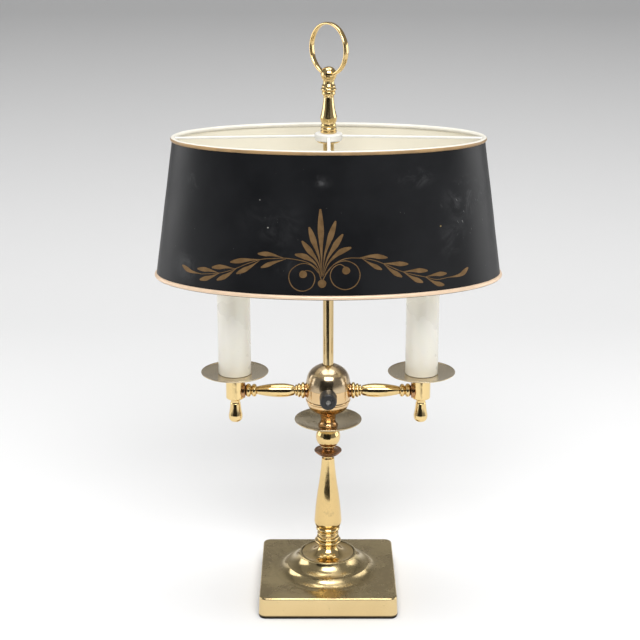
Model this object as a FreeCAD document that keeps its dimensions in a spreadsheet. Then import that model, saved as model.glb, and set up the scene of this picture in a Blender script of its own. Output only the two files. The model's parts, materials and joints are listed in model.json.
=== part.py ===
import FreeCAD, Part
import math
import os

from FreeCAD import Vector, Placement, Rotation

os.makedirs("parts", exist_ok=True)

# Bouillotte lamp, millimetres, +Z up. The origin is the centre of the felt pad's
# underside, the front (switch knob) faces -Y, and the two arms lie along X.

doc = FreeCAD.newDocument("bouillotte_lamp")
sheet = doc.addObject("Spreadsheet::Sheet", "dims")
_values = {}
_finished = []


class Q:
    """A size together with the text that binds it to the sheet."""

    def __init__(self, value, text):
        self.value = float(value)
        self.text = text

    @staticmethod
    def of(other):
        if isinstance(other, Q):
            return other
        return Q(other, "%.6f" % other if other >= 0 else "(%.6f)" % other)

    def __add__(self, o):
        o = Q.of(o)
        return Q(self.value + o.value, "(%s + %s)" % (self.text, o.text))

    def __sub__(self, o):
        o = Q.of(o)
        return Q(self.value - o.value, "(%s - %s)" % (self.text, o.text))

    def __mul__(self, o):
        o = Q.of(o)
        return Q(self.value * o.value, "(%s * %s)" % (self.text, o.text))

    def __truediv__(self, o):
        o = Q.of(o)
        return Q(self.value / o.value, "(%s / %s)" % (self.text, o.text))

    def __neg__(self):
        return Q(-self.value, "(0 - %s)" % self.text)

    def __radd__(self, o):
        return Q.of(o) + self

    def __rsub__(self, o):
        return Q.of(o) - self

    def __rmul__(self, o):
        return Q.of(o) * self


def dim(name, value):
    """Writes one driving dimension to the sheet and returns it."""
    row = len(_values) + 1
    sheet.set("A%d" % row, name)
    sheet.set("B%d" % row, "%.5f" % value)
    sheet.setAlias("B%d" % row, name)
    _values[name] = float(value)
    return Q(value, "dims." + name)


# ---------------------------------------------------------------- dimensions

base_bottom_side = dim("base_bottom_side", 136.0)
base_top_side = dim("base_top_side", 134.5)
base_corner_radius = dim("base_corner_radius", 7.5)
base_edge_round = dim("base_edge_round", 2.0)
base_top_height = dim("base_top_height", 21.8)
base_plate_wall = dim("base_plate_wall", 2.6)
base_plate_skin = dim("base_plate_skin", 2.2)
felt_thickness = dim("felt_thickness", 1.6)
felt_side = dim("felt_side", 134.4)
weight_side = dim("weight_side", 124.0)
weight_bottom = dim("weight_bottom", 5.6)
weight_slot = dim("weight_slot", 11.0)
cord_axis_height = dim("cord_axis_height", 11.2)
cord_bore_radius = dim("cord_bore_radius", 3.4)

pipe_radius = dim("pipe_radius", 4.0)
pipe_bore = dim("pipe_bore", 2.7)
pipe_hole = dim("pipe_hole", 4.15)
pipe_bottom = dim("pipe_bottom", 4.2)
pipe_top = dim("pipe_top", 209.2)

body_radius = dim("body_radius", 21.5)
switch_height = dim("switch_height", 213.3)
shaft_radius = dim("shaft_radius", 2.38)
arm_height = dim("arm_height", 212.6)
cup_offset = dim("cup_offset", 90.7)
cup_radius = dim("cup_radius", 9.0)
nipple_radius = dim("nipple_radius", 3.2)
nipple_bore = dim("nipple_bore", 2.3)

stem_radius = dim("stem_radius", 5.15)
stem_bore = dim("stem_bore", 3.6)
stem_bottom = dim("stem_bottom", 237.6)
stem_top = dim("stem_top", 457.2)
rod_radius = dim("rod_radius", 3.12)
rod_bottom = dim("rod_bottom", 224.0)
rod_top = dim("rod_top", 484.0)
rod_running_hole = dim("rod_running_hole", 3.2)

sleeve_radius = dim("sleeve_radius", 15.875)
sleeve_bore = dim("sleeve_bore", 14.8)
sleeve_bottom = dim("sleeve_bottom", 230.75)
sleeve_top = dim("sleeve_top", 331.0)

shade_bottom_height = dim("shade_bottom_height", 331.4)
shade_top_height = dim("shade_top_height", 461.0)
shade_bottom_long = dim("shade_bottom_long", 163.2)
shade_bottom_short = dim("shade_bottom_short", 85.6)
shade_top_long = dim("shade_top_long", 144.7)
shade_top_short = dim("shade_top_short", 73.6)
shade_sheet = dim("shade_sheet", 0.7)
rim_wire_radius = dim("rim_wire_radius", 2.1)
hub_radius = dim("hub_radius", 12.8)
hub_bottom = dim("hub_bottom", 459.15)
hub_top = dim("hub_top", 466.0)
bar_width = dim("bar_width", 3.2)
bar_thickness = dim("bar_thickness", 2.2)
bar_height = dim("bar_height", 461.0)
bar_rise = dim("bar_rise", 2.2)

ring_centre_height = dim("ring_centre_height", 543.0)
ring_outer_radius = dim("ring_outer_radius", 24.5)
ring_section = dim("ring_section", 2.6)
ring_width = dim("ring_width", 5.4)
ring_yaw = dim("ring_yaw", 48.0)


# ------------------------------------------------------------------- helpers

def origin_plane(body, role):
    for feature in body.Origin.OriginFeatures:
        if feature.Role == role:
            return feature
    raise RuntimeError("no plane " + role)


def arc_geometry(p, q, sag):
    """Circle arc from p to q. The sagitta is positive when the arc bulges to
    the left of the way from p to q. Returns geometry and its point numbers."""
    dx, dy = q[0] - p[0], q[1] - p[1]
    c = math.hypot(dx, dy)
    r = (c * c / 4.0 + sag * sag) / (2.0 * abs(sag))
    nx, ny = -dy / c, dx / c
    side = 1.0 if sag > 0 else -1.0
    off = (r - abs(sag)) * -side
    cx = (p[0] + q[0]) / 2.0 + nx * off
    cy = (p[1] + q[1]) / 2.0 + ny * off
    ap = math.atan2(p[1] - cy, p[0] - cx)
    aq = math.atan2(q[1] - cy, q[0] - cx)
    circle = Part.Circle(Vector(cx, cy, 0), Vector(0, 0, 1), r)
    if sag > 0:
        # bulging left means that the way round is clockwise
        if ap <= aq:
            ap += 2 * math.pi
        return Part.ArcOfCircle(circle, aq, ap), 2, 1, r
    if aq <= ap:
        aq += 2 * math.pi
    return Part.ArcOfCircle(circle, ap, aq), 1, 2, r


def closed_sketch(body, name, plane, verts, cells=None, offset=0.0):
    """A closed sketch through verts, each (x, y) or (x, y, sagitta of the arc
    that leads to it). Plain numbers get cells of their own in the sheet."""
    sk = body.newObject("Sketcher::SketchObject", name)
    sk.AttachmentSupport = (origin_plane(body, plane), "")
    sk.MapMode = "FlatFace"
    off = Q.of(offset)
    if abs(off.value) > 1e-9:
        sk.AttachmentOffset = Placement(Vector(0, 0, off.value), Rotation())
        sk.setExpression("AttachmentOffset.Base.z", off.text)
    tag = cells or name
    pts = []
    for i, v in enumerate(verts):
        x, y = v[0], v[1]
        if not isinstance(x, Q):
            x = dim("%s_across_%02d" % (tag, i), x) if abs(x) > 1e-9 else Q(0, "0")
        if not isinstance(y, Q):
            y = dim("%s_along_%02d" % (tag, i), y) if abs(y) > 1e-9 else Q(0, "0")
        pts.append((x, y, v[2] if len(v) > 2 else 0.0))
    n = len(pts)
    geos, ends, radii = [], [], []
    for i in range(n):
        a, b = pts[i], pts[(i + 1) % n]
        p, q, sag = (a[0].value, a[1].value), (b[0].value, b[1].value), b[2]
        if abs(sag) > 1e-9:
            g, s, e, r = arc_geometry(p, q, sag)
            radii.append((i, r))
        else:
            g, s, e = Part.LineSegment(Vector(p[0], p[1], 0), Vector(q[0], q[1], 0)), 1, 2
        geos.append(g)
        ends.append((s, e))
    sk.addGeometry(geos, False)
    cons, bind = [], []
    for i in range(n):
        cons.append(Sketcher.Constraint("Coincident", i, ends[i][1], (i + 1) % n, ends[(i + 1) % n][0]))
    for i in range(n):
        x, y = pts[i][0], pts[i][1]
        s = ends[i][0]
        if abs(x.value) < 1e-9:
            cons.append(Sketcher.Constraint("PointOnObject", i, s, -2))
        else:
            bind.append((len(cons), x.text))
            cons.append(Sketcher.Constraint("DistanceX", -1, 1, i, s, x.value))
        if abs(y.value) < 1e-9:
            cons.append(Sketcher.Constraint("PointOnObject", i, s, -1))
        else:
            bind.append((len(cons), y.text))
            cons.append(Sketcher.Constraint("DistanceY", -1, 1, i, s, y.value))
    for i, r in radii:
        cell = dim("%s_bend_%02d" % (tag, (i + 1) % n), r)
        bind.append((len(cons), cell.text))
        cons.append(Sketcher.Constraint("Radius", i, r))
    sk.addConstraint(cons)
    for idx, text in bind:
        sk.setExpression("Constraints[%d]" % idx, text)
    sk.Visibility = False
    return sk


def new_body(name):
    body = doc.addObject("PartDesign::Body", name)
    body.Label = name
    return body


def place(obj, x=0.0, y=0.0, z=0.0, rot=None):
    q = [Q.of(x), Q.of(y), Q.of(z)]
    obj.Placement = Placement(Vector(q[0].value, q[1].value, q[2].value), rot or Rotation())
    for axis, item in zip("xyz", q):
        if "dims." in item.text:
            obj.setExpression("Placement.Base." + axis, item.text)


def turned(name, verts, axis="V_Axis", keep=True, cells=None):
    """A turned piece: verts are (radius, height) about the sheet's vertical
    axis, or (along, radius) about its horizontal axis."""
    body = new_body(name)
    sk = closed_sketch(body, name + "_profile", "XZ_Plane", verts, cells=cells or name)
    rev = body.newObject("PartDesign::Revolution", name + "_turn")
    rev.Profile = sk
    rev.ReferenceAxis = (sk, [axis])
    rev.Angle = 360.0
    body.Tip = rev
    if keep:
        finish(body, name)
    return body


def finish(obj, label):
    obj.Label = label
    _finished.append((label, obj))
    return obj


def box(name, lx, ly, lz, x, y, z):
    b = doc.addObject("Part::Box", name)
    for prop, v in (("Length", lx), ("Width", ly), ("Height", lz)):
        v = Q.of(v)
        setattr(b, prop, v.value)
        b.setExpression(prop, v.text)
    place(b, x, y, z)
    return b


def cylinder(name, radius, height, x=0.0, y=0.0, z=0.0, rot=None):
    c = doc.addObject("Part::Cylinder", name)
    radius, height = Q.of(radius), Q.of(height)
    c.Radius, c.Height = radius.value, height.value
    c.setExpression("Radius", radius.text)
    c.setExpression("Height", height.text)
    place(c, x, y, z, rot)
    return c


def cut(name, base, tool):
    c = doc.addObject("Part::Cut", name)
    c.Base, c.Tool = base, tool
    return c


def fuse(name, items):
    f = doc.addObject("Part::MultiFuse", name)
    f.Shapes = items
    return f


def group(label, items):
    g = doc.addObject("Part::Compound", label)
    g.Links = items
    return finish(g, label)


def hex_nut(name, flats, thick, bore, x, y, z, rot=None):
    """Hexagon nut standing on the given point."""
    p = doc.addObject("Part::Prism", name + "_hex")
    p.Polygon = 6
    flats, thick, bore = Q.of(flats), Q.of(thick), Q.of(bore)
    p.Circumradius = flats.value / 2.0 / math.cos(math.radians(30))
    p.setExpression("Circumradius", "%s / 2 / cos(30)" % flats.text)
    p.Height = thick.value
    p.setExpression("Height", thick.text)
    hole = cylinder(name + "_hole", bore, thick + 2.0, 0.0, 0.0, -1.0)
    c = cut(name, p, hole)
    place(c, x, y, z, rot)
    return c


import Sketcher

TO_FRONT = Rotation(Vector(1, 0, 0), 90)        # local +Z becomes -Y
TO_BACK = Rotation(Vector(1, 0, 0), -90)        # local +Z becomes +Y
TO_RIGHT = Rotation(Vector(0, 1, 0), 90)        # local +Z becomes +X
TO_LEFT = Rotation(Vector(0, 1, 0), -90)        # local +Z becomes -X
ABOUT_Z = Rotation(Vector(0, 0, 1), 180)


def rounded_square(half, r):
    """Corner points of a square with rounded corners, anticlockwise."""
    k = 1.0 - math.sqrt(0.5)
    sag = -(r.value * k)
    a = half - r
    return [(a, -half), (half, -a, sag), (half, a), (a, half, sag),
            (-a, half), (-half, a, sag), (-half, -a), (-a, -half, sag)]


# ---------------------------------------------------------------------- base

# Felt pad: the face that the lamp stands on.
body = new_body("felt_pad")
sk = closed_sketch(body, "felt_outline", "XY_Plane", rounded_square(felt_side / 2, base_corner_radius - 0.8))
pad = body.newObject("PartDesign::Pad", "felt_sheet")
pad.Profile = sk
pad.Length = felt_thickness.value
pad.setExpression("Length", felt_thickness.text)
body.Tip = pad
finish(body, "felt_pad")

# Base shell: slightly flared square plate, ogee dome with a lip round its top,
# hollow from below.
body = new_body("base_shell_blank")
sk = closed_sketch(body, "base_outline", "XY_Plane",
                   rounded_square(base_bottom_side / 2, base_corner_radius), offset=felt_thickness)
block = body.newObject("PartDesign::Pad", "base_block")
block.Profile = sk
q = base_top_height - felt_thickness
block.Length = q.value
block.setExpression("Length", q.text)
block.TaperAngle = -math.degrees(math.atan((base_bottom_side.value - base_top_side.value) / 2 / q.value))
block.setExpression("TaperAngle", "atan((dims.base_top_side - dims.base_bottom_side) / 2 / (%s))" % q.text)
body.Tip = block
doc.recompute()
names = []
for i, edge in enumerate(block.Shape.Edges):
    bb = edge.BoundBox
    if bb.ZMin > base_top_height.value - 1e-3:
        names.append("Edge%d" % (i + 1))
soft = body.newObject("PartDesign::Fillet", "base_top_edge")
soft.Base = (block, names)
soft.Radius = base_edge_round.value
soft.setExpression("Radius", base_edge_round.text)
body.Tip = soft
doc.recompute()
sk = closed_sketch(body, "dome_profile", "XZ_Plane",
                   [(0, 20.5), (52.5, 20.5), (52.5, 21.8), (41.0, 28.9, 1.85), (28.6, 39.2, -2.05),
                    (27.7, 40.1, -0.25), (26.5, 39.7, -0.35), (26.3, 38.0), (0, 38.0)])
dome = body.newObject("PartDesign::Revolution", "dome")
dome.Profile = sk
dome.ReferenceAxis = (sk, ["V_Axis"])
dome.Angle = 360.0
body.Tip = dome
doc.recompute()
before = dome.Shape.Volume
inner_half = base_bottom_side / 2 - base_plate_wall
sk = closed_sketch(body, "cavity_outline", "XY_Plane",
                   rounded_square(inner_half, base_corner_radius - 2.5), offset=felt_thickness)
pocket = body.newObject("PartDesign::Pocket", "cavity")
pocket.Profile = sk
pocket.Reversed = True
depth = base_top_height - felt_thickness - base_plate_skin
pocket.Length = depth.value
pocket.setExpression("Length", depth.text)
body.Tip = pocket
doc.recompute()
assert pocket.Shape.Volume < before * 0.75, "base cavity"
before = pocket.Shape.Volume
sk = closed_sketch(body, "dome_hollow_profile", "XZ_Plane",
                   [(0, 19.0), (50.4, 19.0), (50.4, 19.6), (39.4, 26.9, 1.75), (26.9, 36.0, -1.75),
                    (pipe_hole, 36.0), (pipe_hole, 41.0), (0, 41.0)])
groove = body.newObject("PartDesign::Groove", "dome_hollow")
groove.Profile = sk
groove.ReferenceAxis = (sk, ["V_Axis"])
groove.Angle = 360.0
body.Tip = groove
doc.recompute()
assert groove.Shape.Volume < before - 20000, "dome hollow"
cord_hole = cylinder("cord_hole", 5.0, 20.0, 0.0, 56.0, cord_axis_height, TO_BACK)
finish(cut("base_shell", body, cord_hole), "base_shell")

# Weight: iron plate in the hollow, counterbored for the nut, slotted for the cord.
body = new_body("weight_blank")
weight_top = base_top_height - base_plate_skin
sk = closed_sketch(body, "weight_outline", "XY_Plane",
                   rounded_square(weight_side / 2, base_corner_radius - 3.5), offset=weight_bottom)
pad = body.newObject("PartDesign::Pad", "weight_plate")
pad.Profile = sk
q = weight_top - weight_bottom
pad.Length = q.value
pad.setExpression("Length", q.text)
body.Tip = pad
slot = box("weight_slot_tool", weight_slot, weight_side, 12.0, -(weight_slot / 2), 0.0, weight_bottom - 1.0)
well = cylinder("weight_well_tool", 15.0, 8.0, 0.0, 0.0, weight_bottom - 1.0)
hole = cylinder("weight_hole_tool", pipe_hole, 40.0, 0.0, 0.0, 0.0)
finish(cut("base_weight", body, fuse("weight_tools", [slot, well, hole])), "base_weight")

turned("base_washer", [(pipe_hole, 11.05), (12.5, 11.05), (12.5, 12.55), (pipe_hole, 12.55)])
finish(hex_nut("base_locknut", 14.0, 4.5, pipe_hole, 0.0, 0.0, 6.5), "base_locknut")
turned("central_pipe", [(pipe_bore, pipe_bottom), (pipe_radius, pipe_bottom),
                        (pipe_radius, pipe_top), (pipe_bore, pipe_top)])

# Cord bushing: snap-in sleeve with an outer flange and a rounded mouth.
body = turned("cord_bushing", [(cord_bore_radius, 0.0), (4.85, 0.0), (5.3, 1.4), (4.85, 1.9), (4.85, 5.95),
                               (6.4, 5.95), (6.4, 7.0), (5.6, 7.7, -0.2), (4.5, 7.7), (cord_bore_radius, 6.7, -0.3)])
place(body, 0.0, 62.0, cord_axis_height, TO_BACK)

# -------------------------------------------------------------------- column

turned("bell_foot", [
    (pipe_hole, 38.05), (25.6, 38.05), (26.1, 38.6), (25.9, 39.7), (9.8, 45.5, 2.9),
    (9.9, 47.0, -0.35), (9.0, 47.5), (9.0, 49.0), (11.9, 50.6), (12.5, 51.4, -0.15), (12.1, 54.2, -0.9),
    (10.8, 54.7), (11.3, 56.6, -0.25), (10.6, 57.6, -0.15), (9.6, 58.3), (9.6, 59.4), (10.4, 60.0),
    (10.4, 61.6, -0.3), (9.8, 62.0), (10.9, 65.0, 0.35), (11.7, 65.5), (11.7, 67.2, -0.2), (11.1, 68.0),
    (pipe_hole, 68.0)])

turned("vase", [
    (pipe_hole, 68.05), (10.6, 68.05), (12.6, 70.3, -0.35), (13.55, 75.5, -0.35), (11.6, 97.1, -0.15),
    (9.6, 111.2, -0.1), (6.25, 141.4, 0.3), (5.9, 142.0, -0.15), (4.55, 142.0), (4.55, 144.6), (pipe_hole, 144.6)])

turned("collar_disc", [
    (pipe_hole, 144.65), (6.2, 144.65), (12.9, 149.1, -0.9), (13.5, 149.9, -0.2), (12.9, 150.4, -0.2),
    (8.2, 150.9, 0.5), (6.3, 152.0, 0.3), (pipe_hole, 152.0)])

turned("ball_knop", [
    (pipe_hole, 152.05), (5.9, 152.05), (7.8, 155.1, 0.35), (7.8, 155.7), (7.3, 155.9), (8.6, 156.2),
    (12.03, 164.6, -0.89), (8.0, 173.57, -1.05), (7.8, 175.15), (pipe_hole, 175.15)])

turned("drip_saucer", [
    (pipe_hole, 175.2), (10.5, 175.2), (32.2, 181.9, -1.25), (32.9, 182.7, -0.2), (32.3, 183.2, -0.3),
    (31.5, 182.9), (10.8, 176.5, 1.25), (pipe_hole, 176.5)])

turned("spool_neck", [
    (pipe_hole, 176.55), (9.5, 176.55), (9.5, 177.7, -0.15), (7.3, 183.6, 0.75), (7.5, 184.6, 0.2),
    (9.2, 189.2, 0.55), (9.4, 190.4, -0.15), (pipe_hole, 190.4)])

# ---------------------------------------------------------------------- body

turned("body_bowl", [
    (pipe_hole, 190.45), (10.2, 190.45), (20.9, 201.7, -2.75), (21.6, 202.3), (21.9, 203.3, -0.1),
    (21.6, 204.3, -0.1), (20.1, 204.4), (20.1, 206.4), (18.9, 206.4), (18.9, 201.6), (9.9, 191.9, 2.35),
    (pipe_hole, 191.9)])

body = turned("band_blank", [
    (20.2, 204.45), (21.3, 204.45), (body_radius, 204.65), (body_radius, 216.2), (20.65, 216.2), (20.65, 219.0),
    (19.6, 219.0), (19.6, 214.6), (20.2, 214.0)], keep=False)
front = cylinder("band_front_tool", 4.8, 30.0, 0.0, 0.0, switch_height, TO_FRONT)
right = cylinder("band_right_tool", nipple_radius + 0.1, 30.0, 0.0, 0.0, arm_height, TO_RIGHT)
left = cylinder("band_left_tool", nipple_radius + 0.1, 30.0, 0.0, 0.0, arm_height, TO_LEFT)
finish(cut("body_band", body, fuse("band_tools", [front, right, left])), "body_band")

body = turned("dome_blank", [
    (20.75, 216.3), (21.75, 216.3), (21.9, 217.2, -0.05), (20.3, 227.3, -0.37), (15.2, 234.7, -0.66),
    (6.3, 239.3, -0.5), (5.6, 239.0, -0.1), (5.45, 237.55), (3.6, 237.55), (3.6, 236.3), (6.2, 236.9),
    (14.4, 233.6, 0.45), (19.2, 226.7, 0.6), (20.75, 217.2, 0.36)], keep=False, cells="dome_cap")
notch = cylinder("dome_front_tool", 4.8, 30.0, 0.0, 0.0, switch_height, TO_FRONT)
finish(cut("dome_cap", body, notch), "dome_cap")

finish(hex_nut("body_locknut", 14.0, 4.0, pipe_hole, 0.0, 0.0, 191.95), "body_locknut")

# Hickey: an open steel frame, screwed on the pipe below and on the tie rod above.
frame_outer = box("hickey_outer", 12.0, 8.0, 21.5, -6.0, -4.0, 206.5)
frame_inner = box("hickey_window", 8.6, 10.0, 15.5, -4.3, -5.0, 209.5)
frame_low = cylinder("hickey_low_hole", pipe_hole, 4.0, 0.0, 0.0, 206.0)
frame_high = cylinder("hickey_high_hole", rod_running_hole, 4.0, 0.0, 0.0, 224.5)
finish(cut("hickey", frame_outer, fuse("hickey_tools", [frame_inner, frame_low, frame_high])), "hickey")

# Wire nuts over the ends of the arm leads, mouths down.
nuts = []
for side, name in ((1, "right"), (-1, "left")):
    body = turned("wire_nut_" + name, [
        (2.3, 0.0), (3.5, 0.0), (3.5, 1.6), (3.2, 2.0), (2.5, 12.2), (1.7, 13.0, -0.2), (0, 13.0), (0, 6.5),
        (2.3, 6.5)], keep=False, cells="wire_nut_" + name)
    place(body, side * 9.65, 0.0, 218.6)
    nuts.append(body)
group("wire_nuts", nuts)

# -------------------------------------------------------------------- switch
# All about one axis to the front; local height is the distance from the lamp's axis.

switch = {}
switch["switch_housing"] = turned("switch_housing", [
    (5.9, 8.6), (7.0, 8.6), (7.0, 18.0), (4.65, 18.0), (4.65, 16.6), (5.9, 16.6)])
switch["switch_cover"] = turned("switch_cover", [
    (0, 6.4), (3.0, 6.4), (3.4, 7.0), (7.0, 7.0), (7.0, 8.55), (5.8, 8.55), (5.8, 9.3), (0, 9.3)])
switch["switch_bushing"] = turned("switch_bushing", [
    (shaft_radius + 0.05, 16.6), (4.6, 16.6), (4.6, 23.7), (4.3, 24.0), (shaft_radius + 0.05, 24.0)])
switch["switch_shaft"] = turned("switch_shaft", [
    (0, 10.2), (shaft_radius, 10.2), (shaft_radius, 37.6), (2.1, 37.9), (0.7, 37.9), (0, 37.3)])
switch["switch_knob"] = turned("switch_knob", [
    (shaft_radius + 0.02, 25.8), (6.9, 25.8), (6.9, 23.7), (8.0, 23.7), (8.5, 24.3, -0.12), (8.1, 34.9),
    (7.3, 37.4, -0.25), (6.7, 37.8, -0.1), (3.2, 37.8), (shaft_radius + 0.02, 37.4)])
for obj in switch.values():
    place(obj, 0.0, 0.0, switch_height, TO_FRONT)
finish(hex_nut("switch_nut", 11.0, 1.5, 4.65, 0.0, -22.0, switch_height, TO_FRONT), "switch_nut")

# Rotor: four-lobed cam on the inner end of the shaft.
body = new_body("rotor_blank")
lobes = []
for k in range(8):
    ang = math.radians(45.0 * k)
    rad = 5.1 if k % 2 == 0 else 3.9
    lobes.append((rad * math.cos(ang), rad * math.sin(ang)))
sk = closed_sketch(body, "rotor_outline", "XY_Plane", lobes, offset=dim("rotor_start", 11.0))
pad = body.newObject("PartDesign::Pad", "rotor_disc")
pad.Profile = sk
rotor_depth = dim("rotor_depth", 4.4)
pad.Length = rotor_depth.value
pad.setExpression("Length", rotor_depth.text)
body.Tip = pad
rotor_hole = cylinder("rotor_hole", shaft_radius + 0.02, 8.0, 0.0, 0.0, 10.0)
rotor = cut("switch_rotor", body, rotor_hole)
place(rotor, 0.0, 0.0, switch_height, TO_FRONT)
finish(rotor, "switch_rotor")

# -------------------------------------------------------------- stem and seat

turned("stem_tube", [(stem_bore, stem_bottom), (stem_radius, stem_bottom), (stem_radius, stem_top),
                     (stem_bore, stem_top)])
turned("tie_rod", [(0, rod_bottom), (rod_radius, rod_bottom), (rod_radius, rod_top - 0.6),
                   (rod_radius - 0.6, rod_top), (0, rod_top)])
turned("seat_nut", [(rod_running_hole, 457.25), (9.7, 457.25), (10.5, 457.8), (10.5, 458.6, -0.1), (10.1, 459.0),
                    (rod_running_hole, 459.0)])

# ---------------------------------------------------------------------- arms

arm_profile = [
    (19.0, 3.25), (19.0, 6.9), (22.1, 6.9), (22.5, 6.45), (22.8, 6.25), (26.3, 6.25, 1.72), (26.6, 5.6),
    (26.9, 5.6), (29.9, 5.4, 1.35), (30.2, 4.9), (32.2, 4.5, 0.95), (32.5, 3.7), (32.9, 3.7), (33.4, 4.9, 0.1),
    (45.5, 6.75, 0.45), (69.1, 3.9, 0.7), (69.4, 3.6), (69.7, 4.4), (74.5, 4.6, 1.8), (74.8, 4.2),
    (75.2, 4.6), (80.2, 4.8, 1.9), (80.5, 4.4), (80.8, 6.6), (81.6, 7.6, 0.15), (89.0, 7.6), (89.0, 3.25),
    (76.0, 3.25), (76.0, nipple_bore), (27.5, nipple_bore), (27.5, 3.25)]
cup_profile = [
    (2.65, -8.0), (7.6, -8.0), (cup_radius, -6.7, -0.35), (cup_radius, 17.15), (4.15, 17.15), (4.15, 13.4),
    (7.4, 13.4), (7.4, -5.4), (2.65, -5.4)]
drop_profile = [
    (0, 180.3), (3.3, 180.6, -0.15), (6.55, 184.3, -0.75), (6.75, 187.5, -0.12), (5.05, 199.6, 0.25),
    (4.6, 201.6, 0.2), (5.2, 203.8, 0.2), (5.2, 204.55, -0.1), (2.6, 204.55), (2.6, 208.6), (0, 208.6)]
pan_profile = [
    (4.2, 229.8), (17.6, 229.8), (21.2, 230.15, 0.1), (31.3, 231.0, -0.1), (32.3, 231.55, -0.1),
    (32.7, 232.15, -0.15), (32.2, 232.5, -0.2), (31.6, 232.35), (30.8, 231.85, 0.06), (21.0, 230.95, 0.1),
    (17.4, 230.6, -0.1), (4.2, 230.6)]

arms, arm_nuts, nipples, cup_nipples, drops = [], [], [], [], []
for side, name, turn in ((1, "right", Rotation()), (-1, "left", ABOUT_Z)):
    # The arm is turned about X; a saddle fits each end to what it meets.
    body = turned("arm_blank_" + name, arm_profile, axis="H_Axis", keep=False, cells="arm_" + name)
    place(body, 0.0, 0.0, arm_height, turn)
    near_low = cylinder("arm_near_low_" + name, body_radius + 0.05, 20.0, 0.0, 0.0, 196.0)
    near_high = cylinder("arm_near_high_" + name, body_radius + 0.45, 20.0, 0.0, 0.0, 215.9)
    far = cylinder("arm_far_" + name, cup_radius + 0.05, 40.0, cup_offset * side, 0.0, 192.0)
    finish(cut("arm_" + name, body, fuse("arm_tools_" + name, [near_low, near_high, far])), "arm_" + name)

    # Cup, with a side hole towards the arm.
    body = turned("cup_blank_" + name, cup_profile, keep=False, cells="cup_" + name)
    place(body, cup_offset * side, 0.0, arm_height)
    hole = cylinder("cup_side_hole_" + name, nipple_radius + 0.1, 12.0, cup_offset * side, 0.0, arm_height,
                    TO_LEFT if side > 0 else TO_RIGHT)
    finish(cut("cup_" + name, body, hole), "cup_" + name)

    body = turned("drop_finial_" + name, drop_profile, keep=False)
    place(body, cup_offset * side, 0.0, 0.0)
    drops.append(body)

    body = turned("candle_pan_" + name, pan_profile)
    place(body, cup_offset * side, 0.0, 0.0)

    # Nipples: one joins body and arm, one joins arm and cup.
    for part, start, length in (("inner", 14.4, 12.6), ("outer", 76.2, 9.0)):
        body = turned("nipple_%s_%s" % (part, name), [
            (start, nipple_bore), (start, nipple_radius), (start + length, nipple_radius),
            (start + length, nipple_bore)], axis="H_Axis", keep=False)
        place(body, 0.0, 0.0, arm_height, turn)
        nipples.append(body)
    arm_nuts.append(hex_nut("arm_locknut_" + name, 9.0, 2.4, nipple_radius + 0.1, 16.4 * side, 0.0, arm_height,
                            TO_RIGHT if side > 0 else TO_LEFT))
group("arm_nipples", nipples)
group("arm_locknuts", arm_nuts)
group("drop_finials", drops)

# ------------------------------------------------------------ candle sockets

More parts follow.
